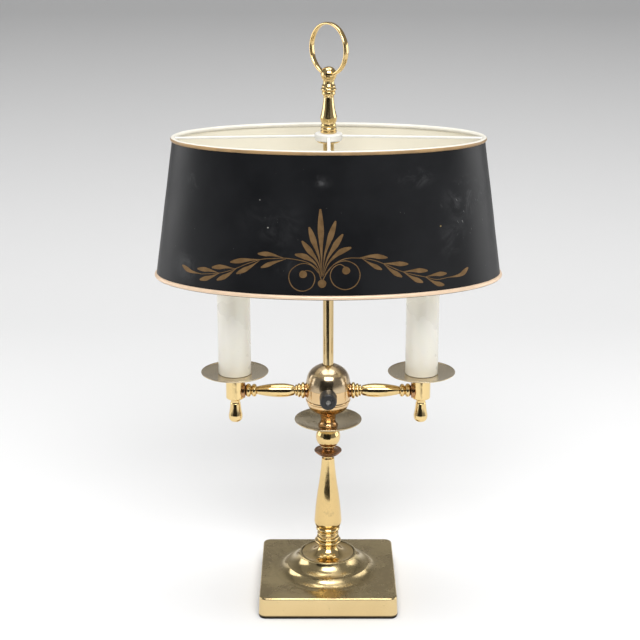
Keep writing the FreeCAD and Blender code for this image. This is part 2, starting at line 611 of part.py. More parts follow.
brackets, insulators, shells, contacts, tubes, tube_nuts = [], [], [], [], [], []
for side, name in ((1, "right"), (-1, "left")):
    x = cup_offset * side
    body = turned("socket_nipple_" + name, [(2.7, 222.5), (4.0, 222.5), (4.0, 240.2), (2.7, 240.2)], keep=False)
    place(body, x, 0.0, 0.0)
    tubes.append(body)
    tube_nuts.append(hex_nut("socket_locknut_" + name, 12.0, 3.0, 4.1, x, 0.0, 230.65))

    # Bracket: a bent strip from the nipple up to the socket's foot.
    foot = box("bracket_foot_" + name, 16.0, 9.0, 1.2, x - 6.0, -4.5, 233.7)
    leg = box("bracket_leg_" + name, 1.2, 9.0, 50.3, x + 8.8, -4.5, 233.7)
    head = box("bracket_head_" + name, 16.0, 9.0, 1.2, x - 6.0, -4.5, 282.8)
    hole_low = cylinder("bracket_low_hole_" + name, 4.1, 4.0, x, 0.0, 232.0)
    hole_high = cylinder("bracket_high_hole_" + name, 2.4, 4.0, x, 0.0, 281.0)
    solid = fuse("bracket_solid_" + name, [foot, leg, head])
    brackets.append(cut("bracket_" + name, solid, fuse("bracket_holes_" + name, [hole_low, hole_high])))

    body = turned("insulator_" + name, [
        (0, 284.05), (12.5, 284.05), (14.2, 285.6), (14.2, 327.0), (13.68, 327.0), (13.68, 290.0), (0, 290.0)],
        keep=False)
    place(body, x, 0.0, 0.0)
    insulators.append(body)
    body = turned("screw_shell_blank_" + name, [
        (8.0, 297.3), (13.1, 297.3), (13.6, 297.9), (13.6, 325.6), (13.1, 325.6), (13.1, 297.95), (8.0, 297.95)],
        keep=False)
    place(body, x, 0.0, 0.0)
    shells.append(body)
    body = turned("contact_" + name, [(0, 290.05), (6.0, 290.05), (6.0, 291.0), (2.4, 296.2), (0, 296.6)],
                  keep=False)
    place(body, x, 0.0, 0.0)
    contacts.append(body)

    body = turned("candle_sleeve_" + name, [
        (sleeve_bore, sleeve_bottom), (sleeve_radius - 0.2, sleeve_bottom), (sleeve_radius, sleeve_bottom + 0.3),
        (sleeve_radius, sleeve_top - 0.5), (sleeve_radius - 0.3, sleeve_top), (sleeve_bore + 0.1, sleeve_top),
        (sleeve_bore, sleeve_top - 0.2)])
    place(body, x, 0.0, 0.0)

    # Bulb: glass, cap with its centre contact, and filament mount.
    body = turned("bulb_glass_" + name, [
        (11.4, 314.0), (12.3, 314.0), (12.3, 327.5), (16.6, 338.0, 0.25), (20.6, 357.0, -0.65),
        (10.4, 396.0, -2.5), (1.6, 412.6, -0.5), (0, 413.4), (0, 412.2), (1.2, 411.5), (9.5, 395.6, 0.45),
        (19.7, 357.0, 2.35), (15.8, 338.4, 0.6), (11.4, 328.0, -0.25)])
    place(body, x, 0.0, 0.0)
    body = turned("bulb_cap_" + name, [
        (0, 296.95), (2.6, 296.95), (3.3, 297.6, -0.15), (3.4, 298.6), (8.6, 299.6), (13.0, 303.2, -0.4),
        (13.0, 325.9), (12.4, 326.6), (12.4, 303.6), (8.4, 300.4), (0, 300.4)])
    place(body, x, 0.0, 0.0)
    stem = turned("filament_stem_" + name, [
        (0, 314.5), (8.0, 314.5), (8.0, 315.4), (3.0, 319.5, 0.8), (2.3, 336.0), (1.2, 340.0), (0, 340.0)],
        keep=False)
    wires = []
    for k in (-1, 1):
        wires.append(cylinder("filament_post_%s_%d" % (name, k + 2), 0.4, 26.0, k * 0.9, 0.0, 334.0,
                              Rotation(Vector(0, 1, 0), 14.0 * k)))
    wires.append(cylinder("filament_coil_" + name, 0.5, 14.0, -7.0, 0.0, 359.0, TO_RIGHT))
    bulb_mount = fuse("bulb_filament_" + name, [stem] + wires)
    place(bulb_mount, x, 0.0, 0.0)
    finish(bulb_mount, "bulb_filament_" + name)

group("socket_nipples", tubes)
group("socket_locknuts", tube_nuts)
group("socket_brackets", brackets)
group("socket_insulators", insulators)
group("screw_shells", shells)
group("centre_contacts", contacts)

# Leads: two insulated wires per arm, from the socket's foot down the cup, along
# the arm's bore and up into the wire nut.
leads = []
lead_radius = dim("lead_radius", 0.85)
lead_bend = dim("lead_bend", 5.0)
lead_inner_bend = dim("lead_inner_bend", 4.0)
for side in (1, -1):
    for k in (-1, 1):
        cx, za = cup_offset.value, arm_height.value
        b1, b2 = lead_bend.value, lead_inner_bend.value
        y = 1.0 * k
        s45 = math.sqrt(0.5)
        p = [(cx, 284.0), (cx, za + b1), (cx - b1, za), (9.65 + b2, za), (9.65, za + b2), (9.65, 224.6)]
        m1 = (cx - b1 + b1 * s45, za + b1 - b1 * s45)
        m2 = (9.65 + b2 - b2 * s45, za + b2 - b2 * s45)

        def at(u):
            return Vector(side * u[0], y, u[1])

        path = Part.Wire([
            Part.LineSegment(at(p[0]), at(p[1])).toShape(), Part.Arc(at(p[1]), at(m1), at(p[2])).toShape(),
            Part.LineSegment(at(p[2]), at(p[3])).toShape(), Part.Arc(at(p[3]), at(m2), at(p[4])).toShape(),
            Part.LineSegment(at(p[4]), at(p[5])).toShape()])
        ring = Part.Wire([Part.Circle(at(p[0]), Vector(0, 0, 1), lead_radius.value).toShape()])
        tube = path.makePipeShell([ring], True, True)
        expected = math.pi * lead_radius.value ** 2 * path.Length
        assert abs(tube.Volume - expected) < expected * 0.01, "lead volume"
        leads.append(tube)
arm_leads = doc.addObject("Part::Feature", "arm_leads")
arm_leads.Shape = Part.makeCompound(leads)
arm_leads.Placement = Placement()
finish(arm_leads, "arm_leads")

# --------------------------------------------------------------------- shade

def ellipse(name, a, b, z):
    e = doc.addObject("Part::Ellipse", name)
    e.MajorRadius, e.MinorRadius = a.value, b.value
    e.setExpression("MajorRadius", a.text)
    e.setExpression("MinorRadius", b.text)
    place(e, 0.0, 0.0, z)
    return e


def at_height(low, high, z):
    return low + (high - low) * (z - shade_bottom_height) / (shade_top_height - shade_bottom_height)


skins = []
for name, off, grow in (("outer", shade_sheet / 2, 0.0), ("inner", -(shade_sheet / 2), 0.02)):
    za = shade_bottom_height + rim_wire_radius + 0.05 - grow
    zb = shade_top_height - rim_wire_radius - 0.05 + grow
    low = ellipse("skin_low_" + name, at_height(shade_bottom_long, shade_top_long, za) + off,
                  at_height(shade_bottom_short, shade_top_short, za) + off, za)
    high = ellipse("skin_high_" + name, at_height(shade_bottom_long, shade_top_long, zb) + off,
                   at_height(shade_bottom_short, shade_top_short, zb) + off, zb)
    skin = doc.addObject("Part::Loft", "skin_" + name)
    skin.Sections = [low, high]
    skin.Solid = True
    skin.Ruled = True
    skins.append(skin)
finish(cut("shade_shell", skins[0], skins[1]), "shade_shell")

for name, a, b, z in (("shade_bottom_rim", shade_bottom_long, shade_bottom_short, shade_bottom_height),
                      ("shade_top_rim", shade_top_long, shade_top_short, shade_top_height)):
    spine = ellipse(name + "_line", a, b, z)
    ring = doc.addObject("Part::Circle", name + "_section")
    ring.Radius = rim_wire_radius.value
    ring.setExpression("Radius", rim_wire_radius.text)
    place(ring, a, 0.0, z, Rotation(Vector(1, 0, 0), 90))
    sweep = doc.addObject("Part::Sweep", name)
    sweep.Sections = [ring]
    sweep.Spine = (spine, ["Edge1"])
    sweep.Solid = True
    sweep.Frenet = True
    finish(sweep, name)

turned("shade_hub", [
    (rod_running_hole, hub_bottom), (hub_radius - 0.9, hub_bottom), (hub_radius, hub_bottom + 0.9),
    (hub_radius, hub_top - 1.4), (hub_radius - 1.4, hub_top, -0.35), (rod_running_hole, hub_top)])

# Bars: flat strips from the hub to the top rim wire, two long and two short,
# falling a little from the hub to the wire.
bars = []
for name, reach, turn in (("right", shade_top_long, 0.0), ("left", shade_top_long, 180.0),
                          ("back", shade_top_short, 90.0), ("front", shade_top_short, -90.0)):
    length = reach - rim_wire_radius - 0.05
    rod = box("bar_blank_" + name, length, bar_width, bar_thickness, 0.0, -(bar_width / 2),
              -(bar_thickness / 2))
    soft = doc.addObject("Part::Fillet", "bar_soft_" + name)
    soft.Base = rod
    doc.recompute()
    edges = []
    for i, edge in enumerate(rod.Shape.Edges):
        bb = edge.BoundBox
        if bb.XLength > 10:
            edges.append((i + 1, 0.7, 0.7))
    soft.Edges = edges
    core = cylinder("bar_core_" + name, hub_radius + 0.06, 40.0, 0.0, 0.0, -20.0)
    bar = cut("bar_" + name, soft, core)
    fall = math.degrees(math.atan(bar_rise.value / reach.value))
    place(bar, 0.0, 0.0, bar_height + bar_rise,
          Rotation(Vector(0, 0, 1), turn) * Rotation(Vector(0, 1, 0), fall))
    bars.append(bar)
group("spider_bars", bars)

# -------------------------------------------------------------------- finial

# Ring handle: a flattened band bent to a circle, standing upright in the ball.
half_w, sec = ring_width / 2, ring_section
outer = ring_outer_radius


def ring_verts(grow):
    return [(outer - sec - grow, -(half_w * 0.5)), (outer - sec * 0.72, -(half_w + grow), -0.28),
            (outer - sec * 0.28, -(half_w + grow)), (outer + grow, -(half_w * 0.5), -0.28),
            (outer + grow, half_w * 0.5), (outer - sec * 0.28, half_w + grow, -0.28),
            (outer - sec * 0.72, half_w + grow), (outer - sec - grow, half_w * 0.5, -0.28)]


yaw = math.radians(ring_yaw.value)
normal = Vector(math.sin(yaw), math.cos(yaw), 0)
lay = Rotation(Vector(0, 0, 1), normal)
ring = turned("finial_ring", ring_verts(0.0))
place(ring, 0.0, 0.0, ring_centre_height, lay)
ring_tool = turned("finial_ring_slot", ring_verts(0.04), keep=False)
place(ring_tool, 0.0, 0.0, ring_centre_height, lay)

finial = turned("finial_blank", [
    (rod_running_hole, 466.1), (7.1, 466.1), (7.6, 466.6), (7.6, 468.0, -0.1), (6.9, 468.5), (7.2, 471.1, -0.45),
    (6.6, 471.5), (6.7, 474.5, -0.3), (6.3, 475.0), (7.75, 481.4, -0.55),
    (4.85, 498.0, 0.45), (4.95, 500.2, 0.05), (4.7, 500.6), (5.4, 501.0), (6.2, 503.6, -0.45), (5.85, 504.7, -0.2),
    (6.55, 505.3), (6.7, 507.5, -0.5), (6.1, 508.2), (6.0, 510.3, -0.35), (5.4, 511.3), (5.25, 513.0, 0.12),
    (6.1, 515.6, 0.3), (6.35, 516.3, -0.1), (6.6, 516.8), (7.5, 519.8, -0.165), (0, 527.3, -2.197), (0, 486.5),
    (rod_running_hole, 485.0)], keep=False)
finish(cut("finial_body", finial, ring_tool), "finial_body")

# --------------------------------------------------------------- check, write

doc.recompute()
problems = []
for obj in doc.Objects:
    states = [str(s) for s in obj.State]
    if "Invalid" in states or "Error" in states:
        problems.append("%s: %s" % (obj.Name, ", ".join(states)))
labels = [label for label, _ in _finished]
if len(labels) != len(set(labels)):
    problems.append("two nodes share a name")
if len(labels) > 60:
    problems.append("%d nodes" % len(labels))
for label, obj in _finished:
    shape = obj.Shape
    if shape.isNull():
        problems.append(label + ": null shape")
    elif not shape.isValid():
        problems.append(label + ": invalid shape")
    elif not shape.Solids:
        problems.append(label + ": no solid")
if problems:
    raise RuntimeError("; ".join(problems))

whole = FreeCAD.BoundBox()
for label, obj in _finished:
    shape = obj.Shape
    shape.exportStep("parts/%s.step" % label)
    whole.add(shape.BoundBox)
    print("%-24s solids %d  volume %10.1f  z %.2f to %.2f" % (
        label, len(shape.Solids), shape.Volume, shape.BoundBox.ZMin, shape.BoundBox.ZMax))
print("%d nodes, box X %.2f..%.2f Y %.2f..%.2f Z %.2f..%.2f" % (
    len(_finished), whole.XMin, whole.XMax, whole.YMin, whole.YMax, whole.ZMin, whole.ZMax))
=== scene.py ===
import json
import math

import bpy
import numpy as np
from mathutils import Euler, Matrix, Vector, noise


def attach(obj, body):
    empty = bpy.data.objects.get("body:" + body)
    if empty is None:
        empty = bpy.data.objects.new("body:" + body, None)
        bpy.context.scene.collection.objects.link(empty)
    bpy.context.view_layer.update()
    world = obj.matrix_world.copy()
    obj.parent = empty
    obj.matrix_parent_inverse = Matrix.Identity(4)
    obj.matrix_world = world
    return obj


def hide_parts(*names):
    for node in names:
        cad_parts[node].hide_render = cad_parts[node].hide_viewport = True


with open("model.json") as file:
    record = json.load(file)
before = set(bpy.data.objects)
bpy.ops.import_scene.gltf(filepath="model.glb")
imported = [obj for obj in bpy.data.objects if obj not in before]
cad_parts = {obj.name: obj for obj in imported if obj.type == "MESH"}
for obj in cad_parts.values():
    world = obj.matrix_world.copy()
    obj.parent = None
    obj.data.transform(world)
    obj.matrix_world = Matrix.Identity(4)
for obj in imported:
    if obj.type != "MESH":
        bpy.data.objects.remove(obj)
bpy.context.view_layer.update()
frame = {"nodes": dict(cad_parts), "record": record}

MM = 0.001
nodes = frame["nodes"]
scene = bpy.context.scene
scene.view_settings.view_transform = "Standard"
scene.view_settings.look = "None"
scene.view_settings.exposure = 0.0
scene.view_settings.gamma = 1.0

# ------------------------------------------------------------------ camera

cam_data = bpy.data.cameras.new("camera")
cam_data.sensor_width = 36.0
cam_data.lens = 84.95
cam = bpy.data.objects.new("camera", cam_data)
cam.location = (-0.00795, -1.3878, 0.7152)
cam.rotation_euler = (math.radians(90.0 - 17.2477), 0.0, 0.0)
scene.collection.objects.link(cam)
scene.camera = cam


# ---------------------------------------------------------------- materials

class Nodes:
    """A material's node tree, built a node at a time. Sockets and plain values mix freely."""

    def __init__(self, name):
        self.mat = bpy.data.materials.new(name)
        self.mat.use_nodes = True
        self.nt = self.mat.node_tree
        self.nt.nodes.clear()
        self.out = self.nt.nodes.new("ShaderNodeOutputMaterial")
        self.bsdf = self.nt.nodes.new("ShaderNodeBsdfPrincipled")
        self.nt.links.new(self.bsdf.outputs[0], self.out.inputs[0])
        self._xyz = None
        self._co = None

    def put(self, socket, value):
        if isinstance(value, bpy.types.NodeSocket):
            self.nt.links.new(value, socket)
        elif isinstance(value, (tuple, list)):
            if len(value) == 3 and socket.type == "RGBA":
                value = (*value, 1.0)
            socket.default_value = value
        else:
            socket.default_value = value

    def set(self, **values):
        for key, value in values.items():
            self.put(self.bsdf.inputs[key.replace("_", " ")], value)

    def co(self):
        if self._co is None:
            self._co = self.nt.nodes.new("ShaderNodeTexCoord").outputs["Object"]
        return self._co

    def xyz(self):
        if self._xyz is None:
            n = self.nt.nodes.new("ShaderNodeSeparateXYZ")
            self.put(n.inputs[0], self.co())
            self._xyz = tuple(n.outputs)
        return self._xyz

    def vec(self, x, y, z):
        n = self.nt.nodes.new("ShaderNodeCombineXYZ")
        for s, v in zip(n.inputs, (x, y, z)):
            self.put(s, v)
        return n.outputs[0]

    def math(self, op, a, b=0.0, c=None, clamp=False):
        n = self.nt.nodes.new("ShaderNodeMath")
        n.operation = op
        n.use_clamp = clamp
        self.put(n.inputs[0], a)
        self.put(n.inputs[1], b)
        if c is not None:
            self.put(n.inputs[2], c)
        return n.outputs[0]

    def scaled(self, v, k):
        n = self.nt.nodes.new("ShaderNodeVectorMath")
        n.operation = "MULTIPLY"
        self.put(n.inputs[0], v)
        self.put(n.inputs[1], tuple(k) if isinstance(k, (tuple, list)) else (k, k, k))
        return n.outputs[0]

    def moved(self, v, k):
        n = self.nt.nodes.new("ShaderNodeVectorMath")
        n.operation = "ADD"
        self.put(n.inputs[0], v)
        self.put(n.inputs[1], tuple(k))
        return n.outputs[0]

    def noise(self, v, scale, detail=3.0, rough=0.5, distort=0.0, colour=False):
        n = self.nt.nodes.new("ShaderNodeTexNoise")
        self.put(n.inputs["Vector"], v)
        n.inputs["Scale"].default_value = scale
        n.inputs["Detail"].default_value = detail
        n.inputs["Roughness"].default_value = rough
        n.inputs["Distortion"].default_value = distort
        return n.outputs["Color" if colour else 0]

    def cells(self, v, scale, feature="F1", out="Distance", rand=1.0):
        n = self.nt.nodes.new("ShaderNodeTexVoronoi")
        n.feature = feature
        self.put(n.inputs["Vector"], v)
        n.inputs["Scale"].default_value = scale
        if "Randomness" in n.inputs:
            n.inputs["Randomness"].default_value = rand
        return n.outputs[out]

    def ramp(self, fac, stops, ease="LINEAR"):
        n = self.nt.nodes.new("ShaderNodeValToRGB")
        n.color_ramp.interpolation = ease
        e = n.color_ramp.elements
        while len(e) < len(stops):
            e.new(0.5)
        for item, (pos, col) in zip(e, stops):
            item.position = pos
            item.color = (*col, 1.0) if len(col) == 3 else col
        self.put(n.inputs[0], fac)
        return n.outputs[0]

    def span(self, v, lo, hi, a=0.0, b=1.0, smooth=True):
        n = self.nt.nodes.new("ShaderNodeMapRange")
        n.interpolation_type = "SMOOTHSTEP" if smooth else "LINEAR"
        n.clamp = True
        self.put(n.inputs[0], v)
        n.inputs[1].default_value = lo
        n.inputs[2].default_value = hi
        n.inputs[3].default_value = a
        n.inputs[4].default_value = b
        return n.outputs[0]

    def mix(self, fac, a, b, kind="MIX"):
        n = self.nt.nodes.new("ShaderNodeMix")
        n.data_type = "RGBA"
        n.blend_type = kind
        n.clamp_factor = True
        self.put(n.inputs[0], fac)
        self.put(n.inputs[6], a)
        self.put(n.inputs[7], b)
        return n.outputs[2]

    def attr(self, name):
        n = self.nt.nodes.new("ShaderNodeAttribute")
        n.attribute_name = name
        return n.outputs["Fac"]

    def bump(self, height, strength=1.0, distance=0.0001, after=None):
        n = self.nt.nodes.new("ShaderNodeBump")
        n.inputs["Strength"].default_value = strength
        n.inputs["Distance"].default_value = distance
        self.put(n.inputs["Height"], height)
        if after is not None:
            self.put(n.inputs["Normal"], after)
        return n.outputs[0]

    def turned(self):
        """(radius, height, angle) about the piece's own axis."""
        x, y, z = self.xyz()
        r = self.math("SQRT", self.math("ADD", self.math("MULTIPLY", x, x), self.math("MULTIPLY", y, y)))
        return r, z, self.math("ARCTAN2", y, x)


def brass(name, clean=(0.83, 0.64, 0.345), stain=(0.34, 0.25, 0.135), grime_and_shade_colour=(0.060, 0.036, 0.016), amount=0.35,
          rough=0.17, lines=0.5, pits=0.3, scale=1.0, tint=(0.80, 0.60, 0.33), dents=0.25, shift=(0, 0, 0)):
    """Old polished brass: lathe lines, clouded lacquer, brown freckles, and a grimy dark brown down in the grooves that
    is partly painted shade.
    """
    t = Nodes(name)
    co = t.moved(t.co(), shift)
    r, z, a = t.turned()
    cloud = t.noise(co, 38.0 * scale, 4.0, 0.6, 0.6)
    fine = t.noise(co, 260.0 * scale, 4.0, 0.65)
    drift = t.noise(t.moved(co, (0.3, 0.1, 0.7)), 14.0 * scale, 2.0, 0.5)
    tarnish = t.span(t.math("ADD", cloud, t.math("MULTIPLY", t.math("SUBTRACT", fine, 0.5), 0.35)),
                     0.66 - 0.30 * amount, 0.86 - 0.30 * amount)
    tarnish = t.math("MULTIPLY", tarnish, min(1.0, 0.35 + amount))
    # The crevice value stored on the mesh darkens the colour where the profile is shut in: painted shade in the
    # grooves, mixed with grimy soiling.
    grime_and_crevice_shade = t.attr("grime_and_crevice_shade")
    grime_and_crevice_shade = t.math("MULTIPLY", t.span(grime_and_crevice_shade, 0.30, 0.85), t.span(fine, 0.25, 0.6, 0.55, 1.0))
    base = t.mix(t.span(drift, 0.35, 0.65), clean, tint)
    base = t.mix(tarnish, base, stain)
    freck = t.cells(co, 420.0 * scale)
    gate = t.noise(t.moved(co, (0.9, 0.4, 0.2)), 95.0 * scale, 2.0, 0.5)
    spots = t.math("MULTIPLY", t.span(freck, 0.10, 0.22, 1.0, 0.0), t.span(gate, 0.56, 0.66))
    spots = t.math("MULTIPLY", spots, pits)
    base = t.mix(spots, base, (0.10, 0.06, 0.03))
    base = t.mix(grime_and_crevice_shade, base, grime_and_shade_colour)
    turn = t.vec(t.math("MULTIPLY", r, 1.0), t.math("MULTIPLY", z, 1.0), t.math("MULTIPLY", a, 0.0004))
    line = t.noise(turn, 2600.0, 2.0, 0.6)
    broad = t.noise(turn, 420.0, 2.0, 0.5)
    scratch = t.noise(t.scaled(co, (1.0, 1.0, 0.12)), 1500.0, 2.0, 0.5)
    gloss = t.math("ADD", rough, t.math("MULTIPLY", tarnish, 0.16))
    gloss = t.math("ADD", gloss, t.math("MULTIPLY", grime_and_crevice_shade, 0.30))
    gloss = t.math("ADD", gloss, t.math("MULTIPLY", t.math("SUBTRACT", fine, 0.5), 0.10))
    gloss = t.math("ADD", gloss, t.math("MULTIPLY", t.span(scratch, 0.6, 0.75), 0.07), clamp=True)
    height = t.math("ADD", t.math("MULTIPLY", line, 0.10 * lines), t.math("MULTIPLY", broad, 0.35 * lines))
    height = t.math("SUBTRACT", height, t.math("MULTIPLY", spots, 0.5))
    fine_bump = t.bump(height, 0.35, 0.00006)
    wave = t.noise(t.moved(co, (0.2, 0.8, 0.5)), 70.0 * scale, 2.0, 0.5)
    t.set(Base_Color=base, Metallic=1.0, Roughness=gloss, Normal=t.bump(wave, dents, 0.0006, fine_bump))
    return t.mat


# ----------------------------------------------------------- turned pieces

def arc_to(p, q, sag):
    """Points after p, up to and with q, along an arc that bulges sag to the left of the way."""
    if abs(sag) < 1e-9:
        return [q]
    px, py = p
    qx, qy = q
    dx, dy = qx - px, qy - py
    c = math.hypot(dx, dy)
    rad = (c * c / 4 + sag * sag) / (2 * abs(sag))
    nx, ny = -dy / c, dx / c
    s = 1.0 if sag > 0 else -1.0
    cx, cy = (px + qx) / 2 + nx * (sag - s * rad), (py + qy) / 2 + ny * (sag - s * rad)
    a0 = math.atan2(py - cy, px - cx)
    a1 = math.atan2(qy - cy, qx - cx)
    if s > 0:
        while a1 > a0:
            a1 -= 2 * math.pi
    else:
        while a1 < a0:
            a1 += 2 * math.pi
    n = max(3, int(math.ceil(max(abs(a1 - a0) / math.radians(6.0), abs(a1 - a0) * rad / 1.6))))
    return [(cx + rad * math.cos(a0 + (a1 - a0) * k / n), cy + rad * math.sin(a0 + (a1 - a0) * k / n))
            for k in range(1, n)] + [q]


def outline(verts, fillet=0.2, closed=True):
    """The closed profile through verts (x, y, sagitta of the arc leading there) with softened corners."""
    n = len(verts)
    pts, corner = [], []
    for i in range(n):
        p, q = verts[i], verts[(i + 1) % n]
        pts.append((p[0], p[1]))
        corner.append(True)
        for m in arc_to((p[0], p[1]), (q[0], q[1]), q[2] if len(q) > 2 else 0.0)[:-1]:
            pts.append(m)
            corner.append(False)
    out = []
    n = len(pts)
    for i in range(n):
        p = pts[i]
        a, b = pts[i - 1], pts[(i + 1) % n]
        if not corner[i] or abs(p[0]) < 1e-6:
            out.append(p)
            continue
        la, lb = math.dist(a, p), math.dist(b, p)
        if la < 1e-6 or lb < 1e-6:
            continue
        u = ((p[0] - a[0]) / la, (p[1] - a[1]) / la)
        v = ((b[0] - p[0]) / lb, (b[1] - p[1]) / lb)
        turn = math.atan2(u[0] * v[1] - u[1] * v[0], u[0] * v[0] + u[1] * v[1])
        if abs(turn) < math.radians(9):
            out.append(p)
            continue
        d = min(fillet * math.tan(abs(turn) / 2), 0.42 * la, 0.42 * lb)
        s = (p[0] - u[0] * d, p[1] - u[1] * d)
        e = (p[0] + v[0] * d, p[1] + v[1] * d)
        if la > 3.2 * d + 0.2:
            out.append((p[0] - u[0] * (d + min(0.15, d)), p[1] - u[1] * (d + min(0.15, d))))
        for k in range(5):
            w = k / 4
            out.append(tuple((1 - w) ** 2 * s[j] + 2 * w * (1 - w) * p[j] + w * w * e[j] for j in (0, 1)))
        if lb > 3.2 * d + 0.2:
            out.append((p[0] + v[0] * (d + min(0.15, d)), p[1] + v[1] * (d + min(0.15, d))))
    return out


def long_runs(pts, most):
    """Splits straight runs so that no step is longer than most."""
    out = []
    for i, p in enumerate(pts):
        q = pts[(i + 1) % len(pts)]
        n = max(1, int(math.ceil(math.dist(p, q) / most)))
        out += [(p[0] + (q[0] - p[0]) * k / n, p[1] + (q[1] - p[1]) * k / n) for k in range(n)]
    return out


def crevice(pts, walls, reach=3.2):
    """How shut in each point of a profile is, 0 open to 1 deep, in the profile's plane."""
    p = np.array(pts)
    nxt, prv = np.roll(p, -1, 0), np.roll(p, 1, 0)
    t = nxt - prv
    length = np.maximum(np.hypot(t[:, 0], t[:, 1]), 1e-9)
    out = np.stack([t[:, 1] / length, -t[:, 0] / length], 1)
    a, b = walls[:, 0], walls[:, 1]
    ab = b - a
    shut = np.zeros(len(p))
    angles = np.radians(np.linspace(-78, 78, 13))
    for ang in angles:
        c, s = math.cos(ang), math.sin(ang)
        d = np.stack([out[:, 0] * c - out[:, 1] * s, out[:, 0] * s + out[:, 1] * c], 1)
        o = p + out * 0.02
        det = d[:, None, 0] * -ab[None, :, 1] + d[:, None, 1] * ab[None, :, 0]
        ok = np.abs(det) > 1e-9
        det = np.where(ok, det, 1.0)
        w = a[None] - o[:, None]
        dist = (w[..., 0] * -ab[None, :, 1] + w[..., 1] * ab[None, :, 0]) / det
        along = (d[:, None, 0] * w[..., 1] - d[:, None, 1] * w[..., 0]) / det
        hit = ok & (dist > 0.03) & (dist < reach) & (along >= 0) & (along <= 1)
        near = np.where(hit, dist, reach).min(1)
        shut += (1 - near / reach) * c
    return shut / np.cos(angles).sum()


def mesh_object(name, co, faces, mats, indices=None, smooth=True, sharp=34.0):
    me = bpy.data.meshes.new(name)
    me.from_pydata([tuple(v) for v in co], [], faces)
    for m in mats:
        me.materials.append(m)
    if indices is not None:
        me.polygons.foreach_set("material_index", indices)
    me.polygons.foreach_set("use_smooth", [smooth] * len(me.polygons))
    if smooth and sharp:
        me.set_sharp_from_angle(angle=math.radians(sharp))
    me.update()
    obj = bpy.data.objects.new(name, me)
    scene.collection.objects.link(obj)
    return obj


column_walls = []


def spin(name, verts, mats, node=None, body="lamp", seg=112, fillet=0.2, loc=(0, 0, 0), rot=None,
         swap=False, walls=None, reach=3.2, step=2.5, paint=None, wobble=None):
    """A turned piece. verts are (radius, height) in mm, or (along, radius) with swap."""
    v = [((q[1], q[0], -q[2]) if len(q) > 2 else (q[1], q[0])) for q in verts] if swap else list(verts)
    pts = long_runs(outline(v, fillet), step)
    clean = []
    for p in pts:
        if not clean or math.dist(p, clean[-1]) > 1e-4:
            clean.append(p)
    if math.dist(clean[0], clean[-1]) < 1e-4:
        clean.pop()
    area = sum(clean[i][0] * clean[(i + 1) % len(clean)][1] - clean[(i + 1) % len(clean)][0] * clean[i][1]
               for i in range(len(clean)))
    if area < 0:
        clean.reverse()
    own = np.array([[clean[i], clean[(i + 1) % len(clean)]] for i in range(len(clean))])
    shut = crevice(clean, own if walls is None else np.concatenate([own, walls]), reach)
    co, grime_and_crevice_shade, faces, which = [], [], [], []
    rings = []
    for (r, z), s in zip(clean, shut):
        if abs(r) < 1e-5:
            rings.append([len(co)])
            co.append((0.0, 0.0, z * MM))
            grime_and_crevice_shade.append(s)
            continue
        ring = []
        for k in range(seg):
            a = 2 * math.pi * k / seg
            rr, zz = r, z
            if wobble:
                rr, zz = wobble(r, z, a)
            ring.append(len(co))
            co.append((rr * math.cos(a) * MM, rr * math.sin(a) * MM, zz * MM))
            grime_and_crevice_shade.append(s)
        rings.append(ring)
    for i in range(len(rings)):
        a, b = rings[i], rings[(i + 1) % len(rings)]
        m = 0
        if paint is not None:
            mid = ((clean[i][0] + clean[(i + 1) % len(clean)][0]) / 2, (clean[i][1] + clean[(i + 1) % len(clean)][1]) / 2)
            m = paint(*mid)
        if len(a) == 1 and len(b) == 1:
            continue
        for k in range(seg):
            k2 = (k + 1) % seg
            if len(a) == 1:
                f = (a[0], b[k2], b[k])
            elif len(b) == 1:
                f = (a[k], a[k2], b[0])
            else:
                f = (a[k], a[k2], b[k2], b[k])
            faces.append(f)
            which.append(m)
    obj = mesh_object(name, co, faces, mats, which)
    # Store the crevice value on each point; the brass materials turn it into painted shade mixed with grimy soiling.
    layer = obj.data.attributes.new("grime_and_crevice_shade", "FLOAT", "POINT")
    layer.data.foreach_set("value", np.array(grime_and_crevice_shade, np.float32))
    obj.location = Vector(loc) * MM
    if rot is not None:
        obj.rotation_euler = rot
    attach(obj, body)
    if node:
        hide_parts(*([node] if isinstance(node, str) else node))
    return obj


def walls_of(*profiles):
    out = []
    for verts in profiles:
        pts = outline(verts, 0.2)
        out += [[pts[i], pts[(i + 1) % len(pts)]] for i in range(len(pts))]
    return np.array(out)


# ------------------------------------------------------------- brass tones

GOLD, OLD_GOLD = (0.82, 0.62, 0.30), (0.72, 0.52, 0.235)
polished = brass("brass_polished", clean=GOLD, tint=OLD_GOLD, amount=0.22, rough=0.12)
vase_brass = brass("brass_vase", clean=GOLD, tint=OLD_GOLD, amount=0.20, rough=0.11, dents=0.15, shift=(0.02, 0.05, 0.01))
bell_brass = brass("brass_bell", clean=(0.74, 0.55, 0.26), tint=(0.60, 0.43, 0.19), amount=0.32, rough=0.14)
collar_brass = brass("brass_collar", clean=(0.38, 0.19, 0.085), tint=(0.27, 0.13, 0.06), stain=(0.14, 0.075, 0.04),
                     amount=0.6, rough=0.22)
knop_brass = brass("brass_knop", clean=GOLD, tint=OLD_GOLD, amount=0.25, rough=0.11, dents=0.18, shift=(0.4, 0.1, 0.3))
saucer_brass = brass("brass_saucer", clean=(0.68, 0.57, 0.38), tint=(0.52, 0.42, 0.26), stain=(0.30, 0.235, 0.14),
                     amount=0.55, rough=0.20, pits=0.5)
spool_brass = brass("brass_spool", clean=(0.55, 0.33, 0.15), tint=(0.42, 0.24, 0.11), stain=(0.22, 0.12, 0.055),
                    amount=0.45, rough=0.20)
body_brass = brass("brass_body", clean=(0.74, 0.53, 0.29), tint=(0.60, 0.41, 0.21), amount=0.40, rough=0.14)
